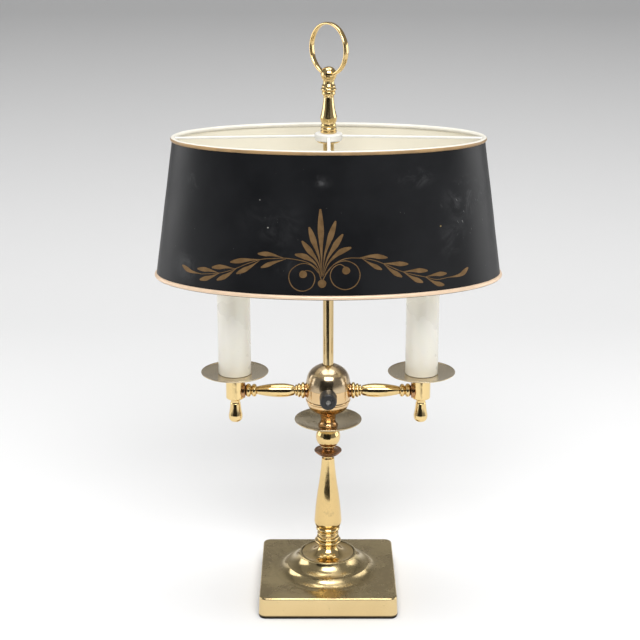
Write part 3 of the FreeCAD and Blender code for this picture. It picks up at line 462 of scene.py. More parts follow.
cap_brass = brass("brass_cap", clean=(0.58, 0.455, 0.29), tint=(0.44, 0.33, 0.21), stain=(0.25, 0.18, 0.12),
                  amount=0.55, rough=0.19, pits=0.5)
stem_brass = brass("brass_stem", amount=0.28, rough=0.13, clean=(0.70, 0.54, 0.29), tint=(0.58, 0.43, 0.22))
arm_brass = brass("brass_arm", clean=GOLD, tint=OLD_GOLD, amount=0.25, rough=0.13, shift=(0.1, 0.6, 0.3))
# Painted shade: a darker coppery brass for the arm's shaded necks by the body and at the cup.
arm_end_shade_brass = brass("brass_arm_end_shade", clean=(0.48, 0.27, 0.13), tint=(0.40, 0.22, 0.10), stain=(0.20, 0.11, 0.06),
                     amount=0.5, rough=0.2)
cup_brass = brass("brass_cup", clean=GOLD, tint=OLD_GOLD, amount=0.22, rough=0.12, shift=(0.7, 0.2, 0.1))
pan_brass = brass("brass_pan", clean=(0.74, 0.64, 0.46), tint=(0.60, 0.50, 0.34), stain=(0.36, 0.27, 0.165),
                  amount=0.5, rough=0.22, pits=0.5, shift=(0.2, 0.2, 0.6))
finial_brass = brass("brass_finial", clean=GOLD, tint=OLD_GOLD, amount=0.28, rough=0.13, shift=(0.5, 0.9, 0.2))
ring_brass = brass("brass_ring", clean=GOLD, tint=OLD_GOLD, amount=0.25, rough=0.13, lines=0.0, shift=(0.1, 0.4, 0.9))

# ------------------------------------------------------------------ column

PIPE = 4.15
BELL = [
    (PIPE, 38.05), (25.6, 38.05), (26.1, 38.6), (25.9, 39.7), (9.8, 45.5, 2.9),
    (9.9, 47.0, -0.35), (9.0, 47.5), (9.0, 49.0), (11.9, 50.6), (12.5, 51.4, -0.15), (12.1, 54.2, -0.9),
    (10.8, 54.7), (11.3, 56.6, -0.25), (10.6, 57.6, -0.15), (9.6, 58.3), (9.6, 59.4), (10.4, 60.0),
    (10.4, 61.6, -0.3), (9.8, 62.0), (10.9, 65.0, 0.35), (11.7, 65.5), (11.7, 67.2, -0.2), (11.1, 68.0),
    (PIPE, 68.0)]
VASE = [
    (PIPE, 68.05), (10.6, 68.05), (12.6, 70.3, -0.35), (13.55, 75.5, -0.35), (11.6, 97.1, -0.15),
    (9.6, 111.2, -0.1), (6.25, 141.4, 0.3), (5.9, 142.0, -0.15), (4.55, 142.0), (4.55, 144.6), (PIPE, 144.6)]
COLLAR = [
    (PIPE, 144.65), (6.2, 144.65), (12.9, 149.1, -0.9), (13.5, 149.9, -0.2), (12.9, 150.4, -0.2),
    (8.2, 150.9, 0.5), (6.3, 152.0, 0.3), (PIPE, 152.0)]
KNOP = [
    (PIPE, 152.05), (5.9, 152.05), (7.8, 155.1, 0.35), (7.8, 155.7), (7.3, 155.9), (8.6, 156.2),
    (12.03, 164.6, -0.89), (8.0, 173.57, -1.05), (7.8, 175.15), (PIPE, 175.15)]
SAUCER = [
    (PIPE, 175.2), (10.5, 175.2), (32.2, 181.9, -1.25), (32.9, 182.7, -0.2), (32.3, 183.2, -0.3),
    (31.5, 182.9), (10.8, 176.5, 1.25), (PIPE, 176.5)]
SPOOL = [
    (PIPE, 176.55), (9.5, 176.55), (9.5, 177.7, -0.15), (7.3, 183.6, 0.75), (7.5, 184.6, 0.2),
    (9.2, 189.2, 0.55), (9.4, 190.4, -0.15), (PIPE, 190.4)]
BOWL = [
    (PIPE, 190.45), (10.2, 190.45), (20.9, 201.7, -2.75), (21.6, 202.3), (21.9, 203.3, -0.1),
    (21.6, 204.3, -0.1), (20.1, 204.4), (20.1, 206.4), (18.9, 206.4), (18.9, 201.6), (9.9, 191.9, 2.35),
    (PIPE, 191.9)]
BAND = [
    (20.2, 204.45), (21.3, 204.45), (21.5, 204.65), (21.5, 216.2), (20.65, 216.2), (20.65, 219.0),
    (19.6, 219.0), (19.6, 214.6), (20.2, 214.0)]
CAP = [
    (20.75, 216.3), (21.75, 216.3), (21.9, 217.2, -0.05), (20.3, 227.3, -0.37), (15.2, 234.7, -0.66),
    (6.3, 239.3, -0.5), (5.6, 239.0, -0.1), (5.45, 237.55), (3.6, 237.55), (3.6, 236.3), (6.2, 236.9),
    (14.4, 233.6, 0.45), (19.2, 226.7, 0.6), (20.75, 217.2, 0.36)]
STEM = [(3.6, 237.6), (5.15, 237.6), (5.15, 457.2), (3.6, 457.2)]
SEAT = [(3.2, 457.25), (9.7, 457.25), (10.5, 457.8), (10.5, 458.6, -0.1), (10.1, 459.0), (3.2, 459.0)]

column = walls_of(BELL, VASE, COLLAR, KNOP, SAUCER, SPOOL, BOWL, BAND, CAP, STEM)
spin("bell_foot.turned", BELL, [bell_brass], "bell_foot", seg=144, walls=column)
spin("vase.turned", VASE, [vase_brass], "vase", seg=144, walls=column)
spin("collar_disc.turned", COLLAR, [collar_brass], "collar_disc", seg=128, walls=column)
spin("ball_knop.turned", KNOP, [knop_brass], "ball_knop", seg=128, walls=column)
spin("drip_saucer.spun", SAUCER, [saucer_brass], "drip_saucer", seg=176, walls=column)
spin("spool_neck.turned", SPOOL, [spool_brass], "spool_neck", seg=128, walls=column)
spin("body_bowl.spun", BOWL, [body_brass], "body_bowl", seg=160, walls=column)
spin("body_band.turned", BAND, [body_brass], "body_band", seg=160, walls=column)
spin("dome_cap.spun", CAP, [cap_brass], "dome_cap", seg=160, walls=column)
spin("stem_tube.drawn", STEM, [stem_brass], "stem_tube", seg=80, walls=column, step=3.0)
spin("seat_nut.turned", SEAT, [polished], "seat_nut", seg=96)

# -------------------------------------------------------------------- arms

ARM = [
    (19.0, 3.25), (19.0, 6.9), (22.1, 6.9), (22.5, 6.45), (22.8, 6.25), (26.3, 6.25, 1.72), (26.6, 5.6),
    (26.9, 5.6), (29.9, 5.4, 1.35), (30.2, 4.9), (32.2, 4.5, 0.95), (32.5, 3.7), (32.9, 3.7), (33.4, 4.9, 0.1),
    (45.5, 6.75, 0.45), (69.1, 3.9, 0.7), (69.4, 3.6), (69.7, 4.4), (74.5, 4.6, 1.8), (74.8, 4.2),
    (75.2, 4.6), (80.2, 4.8, 1.9), (80.5, 4.4), (80.8, 6.6), (81.6, 7.6, 0.15), (84.6, 7.6), (84.6, 3.25),
    (76.0, 3.25), (76.0, 2.3), (27.5, 2.3), (27.5, 3.25)]
CUP = [
    (2.65, -8.0), (7.6, -8.0), (9.0, -6.7, -0.35), (9.0, 17.15), (4.15, 17.15), (4.15, 13.4),
    (7.4, 13.4), (7.4, -5.4), (2.65, -5.4)]
DROP = [
    (0, 180.3), (3.3, 180.6, -0.15), (6.55, 184.3, -0.75), (6.75, 187.5, -0.12), (5.05, 199.6, 0.25),
    (4.6, 201.6, 0.2), (5.2, 203.8, 0.2), (5.2, 204.55, -0.1), (2.6, 204.55), (2.6, 208.6), (0, 208.6)]
PAN = [
    (4.2, 229.8), (17.6, 229.8), (21.2, 230.15, 0.1), (31.3, 231.0, -0.1), (32.3, 231.55, -0.1),
    (32.7, 232.15, -0.15), (32.2, 232.5, -0.2), (31.6, 232.35), (30.8, 231.85, 0.06), (21.0, 230.95, 0.1),
    (17.4, 230.6, -0.1), (4.2, 230.6)]
SLEEVE = [
    (14.8, 230.75), (15.675, 230.75), (15.875, 231.05), (15.875, 330.5), (15.575, 331.0), (14.9, 331.0),
    (14.8, 330.8)]

cream = Nodes("candle_cream")
co = cream.co()
x, y, z = cream.xyz()
haze = cream.noise(co, 22.0, 3.0, 0.5)
streak = cream.noise(cream.scaled(co, (1.0, 1.0, 0.06)), 160.0, 2.0, 0.5)
tone = cream.mix(cream.span(haze, 0.3, 0.7), (0.90, 0.87, 0.785), (0.925, 0.90, 0.825))
tone = cream.mix(cream.span(streak, 0.56, 0.75, 0.0, 0.16), tone, (0.80, 0.765, 0.65))
tone = cream.mix(cream.span(z, 0.275, 0.331, 0.0, 0.45), tone, (0.86, 0.80, 0.66))
# Painted reflection: a brownish mottled band at the sleeve's foot stands for the brass pan reflected in it.
foot = cream.math("MULTIPLY", cream.span(z, 0.2305, 0.2345, 1.0, 0.0), cream.span(cream.noise(co, 300.0, 3.0, 0.6), 0.35, 0.65))
tone = cream.mix(cream.math("MULTIPLY", foot, 0.5), tone, (0.55, 0.44, 0.27))
# Painted shade: the sleeve's lower part is darker towards the pan.
painted_low_shade = cream.span(z, 0.232, 0.300, 0.9, 0.0)
tone = cream.mix(painted_low_shade, tone, (0.75, 0.72, 0.63))
speck = cream.math("MULTIPLY", cream.span(cream.cells(co, 330.0), 0.05, 0.10, 1.0, 0.0),
                   cream.span(cream.noise(cream.moved(co, (0.3, 0.2, 0.1)), 60.0, 1.0), 0.60, 0.66))
tone = cream.mix(cream.math("MULTIPLY", speck, 0.55), tone, (0.38, 0.33, 0.24))
cream.set(Base_Color=tone, Roughness=cream.span(haze, 0.3, 0.7, 0.24, 0.34), Coat_Weight=0.25, Coat_Roughness=0.12,
          Subsurface_Weight=0.12, Subsurface_Scale=0.002, Normal=cream.bump(haze, 0.25, 0.0004))
cream.bsdf.inputs["Subsurface Radius"].default_value = (1.0, 0.7, 0.4)

for side, name in ((1, "right"), (-1, "left")):
    x0 = 90.7 * side
    # The arm's ends by the body and at the cup get the darker brass as painted shade.
    spin("arm_%s.turned" % name, ARM, [arm_brass, arm_end_shade_brass], "arm_" + name, seg=96, swap=True,
         loc=(0, 0, 212.6), rot=(0, math.radians(90 * side), 0),
         paint=lambda r, z: 1 if z < 22.45 or z > 80.45 else 0)
    spin("cup_%s.turned" % name, CUP, [cup_brass], "cup_" + name, seg=96, loc=(x0, 0, 212.6))
    spin("drop_finial_%s.turned" % name, DROP, [cup_brass], "drop_finials" if side > 0 else None,
         seg=96, loc=(x0, 0, 0), walls=walls_of([(q[0], q[1] + 212.6, *q[2:]) for q in CUP]))
    spin("candle_pan_%s.spun" % name, PAN, [pan_brass], "candle_pan_" + name, seg=176,
         loc=(x0, 0, 0), walls=walls_of(SLEEVE))
    spin("candle_sleeve_%s.tube" % name, SLEEVE, [cream.mat], "candle_sleeve_" + name, seg=128,
         loc=(x0, 0, 0), step=4.0)

# ------------------------------------------------------------------ switch

KNOB = [
    (2.40, 25.8), (6.9, 25.8), (6.9, 23.7), (8.0, 23.7), (8.5, 24.3, -0.12), (8.1, 34.9),
    (7.3, 37.4, -0.25), (6.7, 37.8, -0.1), (3.2, 37.8), (2.40, 37.4)]
SHAFT = [(0, 10.2), (2.38, 10.2), (2.38, 37.6), (2.1, 37.9), (0.7, 37.9), (0, 37.3)]
black = Nodes("knob_black")
co = black.co()
n1 = black.noise(co, 160.0, 4.0, 0.6)
n2 = black.noise(co, 1800.0, 2.0, 0.5)
dust = black.math("MULTIPLY", black.span(black.cells(co, 900.0), 0.06, 0.16, 1.0, 0.0), black.span(n1, 0.52, 0.6))
black.set(Base_Color=black.mix(black.math("MULTIPLY", dust, 0.5), black.mix(n1, (0.012, 0.012, 0.013), (0.028, 0.027, 0.026)),
                               (0.22, 0.20, 0.17)),
          Roughness=black.span(n1, 0.3, 0.7, 0.26, 0.42), Normal=black.bump(n2, 0.2, 0.00005))
grey = Nodes("shaft_grey")
n1 = grey.noise(grey.co(), 900.0, 3.0, 0.6)
grey.set(Base_Color=grey.mix(n1, (0.16, 0.155, 0.145), (0.42, 0.41, 0.39)), Metallic=1.0,
         Roughness=grey.span(n1, 0.3, 0.7, 0.28, 0.5), Normal=grey.bump(n1, 0.3, 0.00006))
FRONT = (math.radians(90), 0, 0)
spin("switch_knob.moulded", KNOB, [black.mat], "switch_knob", "switch", seg=96, fillet=0.35,
     loc=(0, 0, 213.3), rot=FRONT)
spin("switch_shaft.turned", SHAFT, [grey.mat], "switch_shaft", "switch", seg=64, fillet=0.15,
     loc=(0, 0, 213.3), rot=FRONT)

# ---------------------------------------------------------------- the base

def base_mesh():
    """The square base: side and edge rounds, ogee dome, recess. Rings of points from the middle outwards."""
    per_side, per_corner = 44, 12

    def square(half, r):
        pts = []
        r = min(r, half)
        for q in range(4):
            a0 = q * 90.0
            cx = (half - r) * (1, -1, -1, 1)[q]
            cy = (half - r) * (1, 1, -1, -1)[q]
            for k in range(per_corner + 1):
                a = math.radians(a0 + 90.0 * k / per_corner)
                pts.append((cx + r * math.cos(a), cy + r * math.sin(a)))
            nx, ny = ((-1, 1), (-1, -1), (1, -1), (1, 1))[q]
            start = pts[-1]
            if q == 0:
                end = (-(half - r), half)
            elif q == 1:
                end = (-half, -(half - r))
            elif q == 2:
                end = (half - r, -half)
            else:
                end = (half, half - r)
            for k in range(1, per_side):
                w = k / per_side
                pts.append((start[0] + (end[0] - start[0]) * w, start[1] + (end[1] - start[1]) * w))
        return pts

    rim = square(67.25, 7.5)
    angles = [math.atan2(p[1], p[0]) for p in rim]
    rings = []

    def circle(r, z, z_var=None):
        rings.append([(r * math.cos(a), r * math.sin(a), z) for a in angles])

    dome = [(PIPE, 38.0), (12.0, 38.0), (24.0, 38.0), (26.0, 38.0), (26.25, 38.1), (26.3, 38.5), (26.3, 39.2)]
    for r, z in dome:
        circle(r, z)
    for p, q, s in (((26.3, 39.4), (26.5, 39.75), 0.05), ((26.5, 39.75), (27.7, 40.1), 0.35),
                    ((27.7, 40.1), (28.6, 39.2), 0.25)):
        for m in arc_to(p, q, s):
            circle(*m)
    for m in arc_to((28.6, 39.2), (41.0, 28.9), -(-2.05)*-1):
        circle(*m)
    for m in arc_to((41.0, 28.9), (52.0, 21.95), -1.85):
        circle(*m)
    circle(52.6, 21.85)
    circle(53.6, 21.8)
    inner = [(53.6 * math.cos(a), 53.6 * math.sin(a)) for a in angles]
    edge = square(65.25, 5.5)
    for w in (0.12, 0.3, 0.5, 0.7, 0.86, 0.96, 1.0):
        rings.append([(p[0] + (q[0] - p[0]) * w, p[1] + (q[1] - p[1]) * w, 21.8) for p, q in zip(inner, edge)])
    for k in range(1, 9):
        a = math.radians(90.0 * k / 8)
        out = 65.25 + 2.0 * math.sin(a)
        rings.append([(x, y, 19.8 + 2.0 * math.cos(a)) for x, y in square(out, 5.5 + 2.0 * math.sin(a))])
    for k in range(1, 7):
        w = k / 6
        half = 67.25 + 0.72 * w
        rings.append([(x, y, 19.8 + (2.1 - 19.8) * w) for x, y in square(half, 7.5)])
    rings.append([(x, y, 1.75) for x, y in square(67.85, 7.4)])
    rings.append([(x, y, 1.62) for x, y in square(67.55, 7.2)])
    rings.append([(x, y, 1.62) for x, y in square(65.2, 5.5)])
    rings.append([(x, y, 19.0) for x, y in square(65.2, 5.5)])
    rings.append([(PIPE * math.cos(a), PIPE * math.sin(a), 19.0) for a in angles])
    co, faces = [], []
    n = len(rim)
    for ring in rings:
        co += ring
    for i in range(len(rings)):
        j = (i + 1) % len(rings)
        for k in range(n):
            k2 = (k + 1) % n
            faces.append((i * n + k, j * n + k, j * n + k2, i * n + k2))
    arr = np.array(co)
    # worn, slightly uneven faces
    for idx in range(len(arr)):
        x, y, z = arr[idx]
        if z > 1.9 and not (z < 19.5 and abs(max(abs(x), abs(y)) - 65.2) < 0.01):
            d = noise.noise(Vector((x, y, z)) * 0.03) * 0.10 + noise.noise(Vector((x + 31, y, z)) * 0.11) * 0.04
            arr[idx][2] += d * (1.0 if z > 20 else 0.3)
    return arr * MM, faces


base_mat = Nodes("brass_base")
co = base_mat.co()
x, y, z = base_mat.xyz()
r = base_mat.math("SQRT", base_mat.math("ADD", base_mat.math("MULTIPLY", x, x), base_mat.math("MULTIPLY", y, y)))
cloud = base_mat.noise(co, 26.0, 5.0, 0.62, 0.8)
fine = base_mat.noise(co, 210.0, 4.0, 0.65)
drift = base_mat.noise(base_mat.moved(co, (0.3, 0.5, 0.1)), 9.0, 2.0, 0.5)
top = base_mat.span(z, 0.0195, 0.0215)
tarn = base_mat.span(base_mat.math("ADD", cloud, base_mat.math("MULTIPLY", base_mat.math("SUBTRACT", fine, 0.5), 0.4)), 0.38, 0.68)
tarn_top = base_mat.math("MULTIPLY", tarn, top)
tarn_side = base_mat.math("MULTIPLY", base_mat.span(cloud, 0.60, 0.78), base_mat.math("SUBTRACT", 1.0, top))
colour = base_mat.mix(base_mat.span(drift, 0.35, 0.65), (0.80, 0.62, 0.33), (0.70, 0.53, 0.27))
top_tone = base_mat.mix(base_mat.span(drift, 0.35, 0.65), (0.66, 0.52, 0.27), (0.52, 0.41, 0.21))
colour = base_mat.mix(top, colour, top_tone)
colour = base_mat.mix(base_mat.math("MULTIPLY", tarn_top, 0.6), colour, (0.31, 0.235, 0.13))
colour = base_mat.mix(base_mat.math("MULTIPLY", tarn_side, 0.6), colour, (0.42, 0.30, 0.15))
# Painted shade: a dark ring where the bell foot stands on the dome's lip.
joint_ring_shade = base_mat.math("MULTIPLY", base_mat.span(r, 0.0262, 0.0272, 1.0, 0.0), 1.0)
colour = base_mat.mix(joint_ring_shade, colour, (0.05, 0.035, 0.02))
# Painted shade, faint, in the crease where the dome meets the flat top.
dome_crease_shade = base_mat.math("MULTIPLY", base_mat.span(base_mat.math("ABSOLUTE", base_mat.math("SUBTRACT", r, 0.0535)), 0.0, 0.0022, 1.0, 0.0), top)
colour = base_mat.mix(base_mat.math("MULTIPLY", dome_crease_shade, 0.08), colour, (0.12, 0.09, 0.05))
# Near-black band along the lowest few mm of the sides: tarnish together with painted shade at the foot of the base.
bottom_tarnish_and_shade = base_mat.span(z, 0.0026, 0.0040, 1.0, 0.0)
colour = base_mat.mix(base_mat.math("MULTIPLY", bottom_tarnish_and_shade, 0.93), colour, (0.012, 0.009, 0.006))
freck = base_mat.cells(co, 340.0)
gate = base_mat.noise(base_mat.moved(co, (0.9, 0.4, 0.2)), 80.0, 2.0, 0.5)
spots = base_mat.math("MULTIPLY", base_mat.span(freck, 0.08, 0.2, 1.0, 0.0), base_mat.span(gate, 0.55, 0.64))
colour = base_mat.mix(base_mat.math("MULTIPLY", spots, 0.55), colour, (0.10, 0.07, 0.035))
scr = base_mat.noise(base_mat.scaled(co, (0.25, 1.6, 1.6)), 900.0, 2.0, 0.5)
scr2 = base_mat.noise(base_mat.scaled(co, (1.6, 0.25, 1.6)), 700.0, 2.0, 0.5)
scratches = base_mat.math("ADD", base_mat.span(scr, 0.62, 0.74), base_mat.span(scr2, 0.63, 0.75))
gloss = base_mat.math("ADD", 0.16, base_mat.math("MULTIPLY", base_mat.math("ADD", tarn_top, tarn_side), 0.17))
gloss = base_mat.math("ADD", gloss, base_mat.math("MULTIPLY", bottom_tarnish_and_shade, 0.35))
gloss = base_mat.math("ADD", gloss, base_mat.math("MULTIPLY", scratches, 0.06), clamp=True)
hb = base_mat.math("ADD", base_mat.math("MULTIPLY", scratches, -0.12), base_mat.math("MULTIPLY", spots, -0.5))
b1 = base_mat.bump(hb, 0.4, 0.00008)
base_mat.set(Base_Color=colour, Metallic=1.0, Roughness=gloss, Normal=base_mat.bump(base_mat.noise(co, 32.0, 3.0, 0.5), 0.22, 0.0012, b1))

bco, bfaces = base_mesh()
base = mesh_object("base_shell.cast", bco, bfaces, [base_mat.mat], sharp=30.0)
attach(base, "lamp")
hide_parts("base_shell")

# ------------------------------------------------------------------- shade

LOW, HIGH = 331.4, 461.0


def shade_point(theta, z, off=0.0):
    """A point on the shade's skin: theta from the front, anticlockwise seen from above, z in mm."""
    w = (z - LOW) / (HIGH - LOW)
    a = 163.2 + (144.7 - 163.2) * w
    b = 85.6 + (73.6 - 85.6) * w
    s, c = math.sin(theta), math.cos(theta)
    x, y = a * s, -b * c
    nx, ny = s / a, -c / b
    n = math.hypot(nx, ny)
    nx, ny = nx / n, ny / n
    edge = max(0.0, min(1.0, min(z - LOW, HIGH - z) / 14.0))
    d = noise.noise(Vector((x, y, z)) * 0.021) * 0.30 + noise.noise(Vector((x + 50, y, z)) * 0.055) * 0.10
    k = off + d * edge
    return (x + nx * k, y + ny * k, z)


_table = []
_acc = 0.0
for _i in range(0, 1801):
    _t = math.radians(_i * 0.1)
    _table.append(_acc)
    _w = (380 - LOW) / (HIGH - LOW)
    _acc += math.hypot((163.2 - 18.5 * _w) * math.cos(_t + math.radians(0.05)),
                       (85.6 - 12.0 * _w) * math.sin(_t + math.radians(0.05))) * math.radians(0.1)


def theta_at(s):
    """The angle at arc length s (mm) from the front centre, at the ornament's height."""
    k = np.interp(abs(s), _table, np.arange(len(_table)) * 0.1)
    return math.copysign(math.radians(k), s)


def shade_shell():
    n, m = 360, 30
    zs = [333.55 + (458.85 - 333.55) * k / m for k in range(m + 1)]
    co, faces, which = [], [], []
    for off in (0.35, -0.35):
        for z in zs:
            for k in range(n):
                co.append(shade_point(2 * math.pi * k / n, z, off))
    row = lambda layer, i, k: (layer * (m + 1) + i) * n + k % n
    for i in range(m):
        for k in range(n):
            faces.append((row(0, i, k), row(0, i, k + 1), row(0, i + 1, k + 1), row(0, i + 1, k)))
            which.append(0)
            faces.append((row(1, i, k), row(1, i + 1, k), row(1, i + 1, k + 1), row(1, i, k + 1)))
            which.append(1)
    for k in range(n):
        faces.append((row(0, 0, k), row(1, 0, k), row(1, 0, k + 1), row(0, 0, k + 1)))
        faces.append((row(0, m, k), row(0, m, k + 1), row(1, m, k + 1), row(1, m, k)))
        which += [0, 0]
    return np.array(co) * MM, faces, which


tole = Nodes("tole_black")
co = tole.co()
x, y, z = tole.xyz()
mott = tole.noise(co, 16.0, 4.0, 0.6)
peel = tole.noise(co, 520.0, 2.0, 0.5)
smear = tole.noise(tole.scaled(co, (1.0, 1.0, 2.2)), 34.0, 5.0, 0.68, 1.2)
rub = tole.noise(tole.scaled(co, (0.55, 0.55, 3.4)), 210.0, 3.0, 0.6, 0.4)
colour = tole.mix(tole.span(mott, 0.35, 0.65), (0.0034, 0.0038, 0.0050), (0.0052, 0.0058, 0.0074))
scuff = tole.math("MULTIPLY", tole.span(smear, 0.62, 0.85), tole.span(rub, 0.46, 0.66))
colour = tole.mix(tole.math("MULTIPLY", scuff, 0.10), colour, (0.12, 0.12, 0.125))


def near(cx, cz, wx, wz, power=1.0):
    """A soft patch about a point of the shade's front, worn there."""
    dx = tole.math("DIVIDE", tole.math("SUBTRACT", x, cx), wx)
    dz = tole.math("DIVIDE", tole.math("SUBTRACT", z, cz), wz)
    d = tole.math("SQRT", tole.math("ADD", tole.math("MULTIPLY", dx, dx), tole.math("MULTIPLY", dz, dz)))
    return tole.math("MULTIPLY", tole.math("MULTIPLY", tole.span(d, 0.15, 1.0, 1.0, 0.0), power),
                     tole.math("LESS_THAN", y, 0.0))


cloudy = tole.noise(tole.moved(co, (0.2, 0.7, 0.4)), 48.0, 5.0, 0.7, 0.8)
worn = near(0.076, 0.437, 0.024, 0.012, 0.9)
for args in ((-0.0105, 0.4345, 0.0085, 0.0035, 1.6), (-0.123, 0.432, 0.010, 0.016, 0.9), (-0.131, 0.350, 0.016, 0.020, 0.8)):
    worn = tole.math("ADD", worn, near(*args))
for args in ((-0.010, 0.436, 0.018, 0.009, 0.5), (0.124, 0.415, 0.026, 0.026, 1.0), (-0.050, 0.396, 0.040, 0.030, 0.35),
             (0.112, 0.378, 0.018, 0.026, 0.6), (-0.040, 0.362, 0.020, 0.014, 0.4)):
    worn = tole.math("ADD", worn, near(*args))
worn = tole.math("MULTIPLY", worn, tole.span(cloudy, 0.42, 0.72))
colour = tole.mix(tole.math("MULTIPLY", worn, 0.26), colour, (0.17, 0.17, 0.175))
tilt = tole.vec(tole.math("ADD", x, tole.math("MULTIPLY", z, 0.55)), y, tole.math("MULTIPLY", z, 0.06))
hair = tole.noise(tilt, 620.0, 2.0, 0.5)
hairs = tole.math("MULTIPLY", tole.span(hair, 0.70, 0.76), near(0.124, 0.405, 0.030, 0.040))
hairs = tole.math("ADD", hairs, tole.math("MULTIPLY", tole.span(hair, 0.71, 0.77), near(0.074, 0.432, 0.024, 0.016)))
colour = tole.mix(tole.math("MULTIPLY", hairs, 0.5), colour, (0.26, 0.26, 0.255))
dot = tole.cells(co, 240.0)
keep = tole.noise(tole.moved(co, (0.4, 0.2, 0.9)), 120.0, 1.0, 0.5)
specks = tole.math("MULTIPLY", tole.span(dot, 0.035, 0.075, 1.0, 0.0), tole.span(keep, 0.58, 0.64))
colour = tole.mix(tole.math("MULTIPLY", specks, 0.35), colour, (0.36, 0.35, 0.32))
for args, paint in (((-0.0545, 0.394, 0.0010, 0.0009), (0.45, 0.44, 0.40)), ((0.101, 0.392, 0.0011, 0.0010), (0.35, 0.26, 0.10)),
                    ((-0.0615, 0.4185, 0.0008, 0.0007), (0.40, 0.39, 0.36))):
    colour = tole.mix(tole.math("MULTIPLY", near(*args), 0.8), colour, paint)
gloss = tole.math("ADD", tole.span(mott, 0.3, 0.7, 0.36, 0.44), tole.math("MULTIPLY", tole.math("ADD", scuff, worn), 0.10), clamp=True)
b1 = tole.bump(peel, 0.12, 0.00008)
b2 = tole.bump(tole.math("MULTIPLY", specks, 1.0), 0.5, 0.0001, b1)
tole.set(Base_Color=colour, Roughness=gloss, Specular_IOR_Level=0.33, Normal=b2)

lining = Nodes("shade_lining")
co = lining.co()
x, y, z = lining.xyz()
h1 = lining.noise(co, 18.0, 4.0, 0.55)
h2 = lining.noise(co, 300.0, 3.0, 0.6)
c = lining.mix(lining.span(h1, 0.35, 0.65), (0.88, 0.85, 0.74), (0.91, 0.885, 0.79))
warm = lining.math("MULTIPLY", lining.span(z, 0.39, 0.455), lining.span(h1, 0.3, 0.6, 0.5, 1.0))
c = lining.mix(lining.math("MULTIPLY", warm, 0.3), c, (0.82, 0.73, 0.52))
lining.set(Base_Color=c, Roughness=0.5, Normal=lining.bump(h2, 0.15, 0.0001))

sco, sfaces, swhich = shade_shell()
shell = mesh_object("shade_shell.tole", sco, sfaces, [tole.mat, lining.mat], swhich, sharp=50.0)
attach(shell, "shade")
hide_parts("shade_shell")


def rim(name, z0, a, b, mats, node, slot, paint):
    n, m, rad = 420, 20, 2.1
    co, faces, which = [], [], []
    for k in range(n):
        t = 2 * math.pi * k / n
        s, c = math.sin(t), math.cos(t)
        x, y = a * s, -b * c
        nx, ny = s / a, -c / b
        q = math.hypot(nx, ny)
        nx, ny = nx / q, ny / q
        for j in range(m):
            u = 2 * math.pi * j / m
            co.append((x + nx * rad * math.cos(u), y + ny * rad * math.cos(u), z0 + rad * math.sin(u)))
    for k in range(n):
        for j in range(m):
            j2, k2 = (j + 1) % m, (k + 1) % n
            faces.append((k * m + j, k2 * m + j, k2 * m + j2, k * m + j2))
            which.append(0)
    obj = mesh_object(name, np.array(co) * MM, faces, mats, which, sharp=0)
    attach(obj, "shade")
    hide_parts(node)
    return obj


def rim_paint(name, z0, upper, lower, outer_only, split, metal=0.0, rough=0.35):
    """Rim wire paint: one colour above a hand-brushed line on the outside, another below; on the bottom rim the dark
    colour below is painted shade.
    """
    t = Nodes(name)
    co = t.co()
    x, y, z = t.xyz()
    wob = t.noise(co, 60.0, 3.0, 0.6)
    fine = t.noise(co, 500.0, 3.0, 0.6)
    level = t.math("ADD", z, t.math("MULTIPLY", t.math("SUBTRACT", wob, 0.5), 0.0009))
    low = t.span(level, z0 + split - 0.00022, z0 + split + 0.00022, 1.0, 0.0)
    # outside of the wire: beyond the ellipse through its centre
    a, b = outer_only
    e = t.math("ADD", t.math("POWER", t.math("DIVIDE", x, a), 2.0), t.math("POWER", t.math("DIVIDE", y, b), 2.0))
    out = t.span(e, 0.994, 1.004)
    m = t.math("MULTIPLY", low, out)
    up = t.mix(t.span(wob, 0.4, 0.6), upper, tuple(v * 0.93 for v in upper))
    chips = t.math("MULTIPLY", t.span(fine, 0.68, 0.78), 0.22)
    up = t.mix(chips, up, tuple(v * 0.55 for v in upper))
    dn = t.mix(t.span(wob, 0.4, 0.6), lower, tuple(v * 0.8 for v in lower))
    t.set(Base_Color=t.mix(m, up, dn), Metallic=metal, Roughness=t.span(fine, 0.3, 0.7, rough - 0.05, rough + 0.08),
          Normal=t.bump(fine, 0.2, 0.00008))
    return t.mat


top_paint = rim_paint("rim_cream_gold", 0.461, (0.82, 0.79, 0.70), (0.40, 0.25, 0.11), (0.1447, 0.0736), 0.0013)
# Bottom rim: gold above, with the near-black lower outside as painted shade.
bottom_rim_gold_and_shade = rim_paint("rim_gold_and_painted_shade", 0.3314, (0.84, 0.63, 0.45), (0.09, 0.05, 0.025), (0.1632, 0.0856), -0.0012, metal=0.15, rough=0.34)
rim("shade_top_rim.wire", 461.0, 144.7, 73.6, [top_paint], "shade_top_rim", "rim_cream", None)
rim("shade_bottom_rim.wire", 331.4, 163.2, 85.6, [bottom_rim_gold_and_shade], "shade_bottom_rim", "rim_gold", None)

# Laurel and palmette, painted by hand in bronze on the front.

bronze = Nodes("bronze_paint")
co = bronze.co()
n1 = bronze.noise(co, 140.0, 4.0, 0.6)
n2 = bronze.noise(co, 1400.0, 3.0, 0.6)
c = bronze.mix(bronze.span(n1, 0.35, 0.65), (0.160, 0.090, 0.034), (0.210, 0.122, 0.048))
c = bronze.mix(bronze.span(n2, 0.60, 0.75, 0.0, 0.6), c, (0.06, 0.034, 0.014))
bronze.set(Base_Color=c, Metallic=0.35, Roughness=bronze.span(n1, 0.3, 0.7, 0.38, 0.5), Normal=bronze.bump(n2, 0.25, 0.00005))

ORN_S, ORN_Z, LIFT = -5.88, 344.62, 0.35 + 0.07


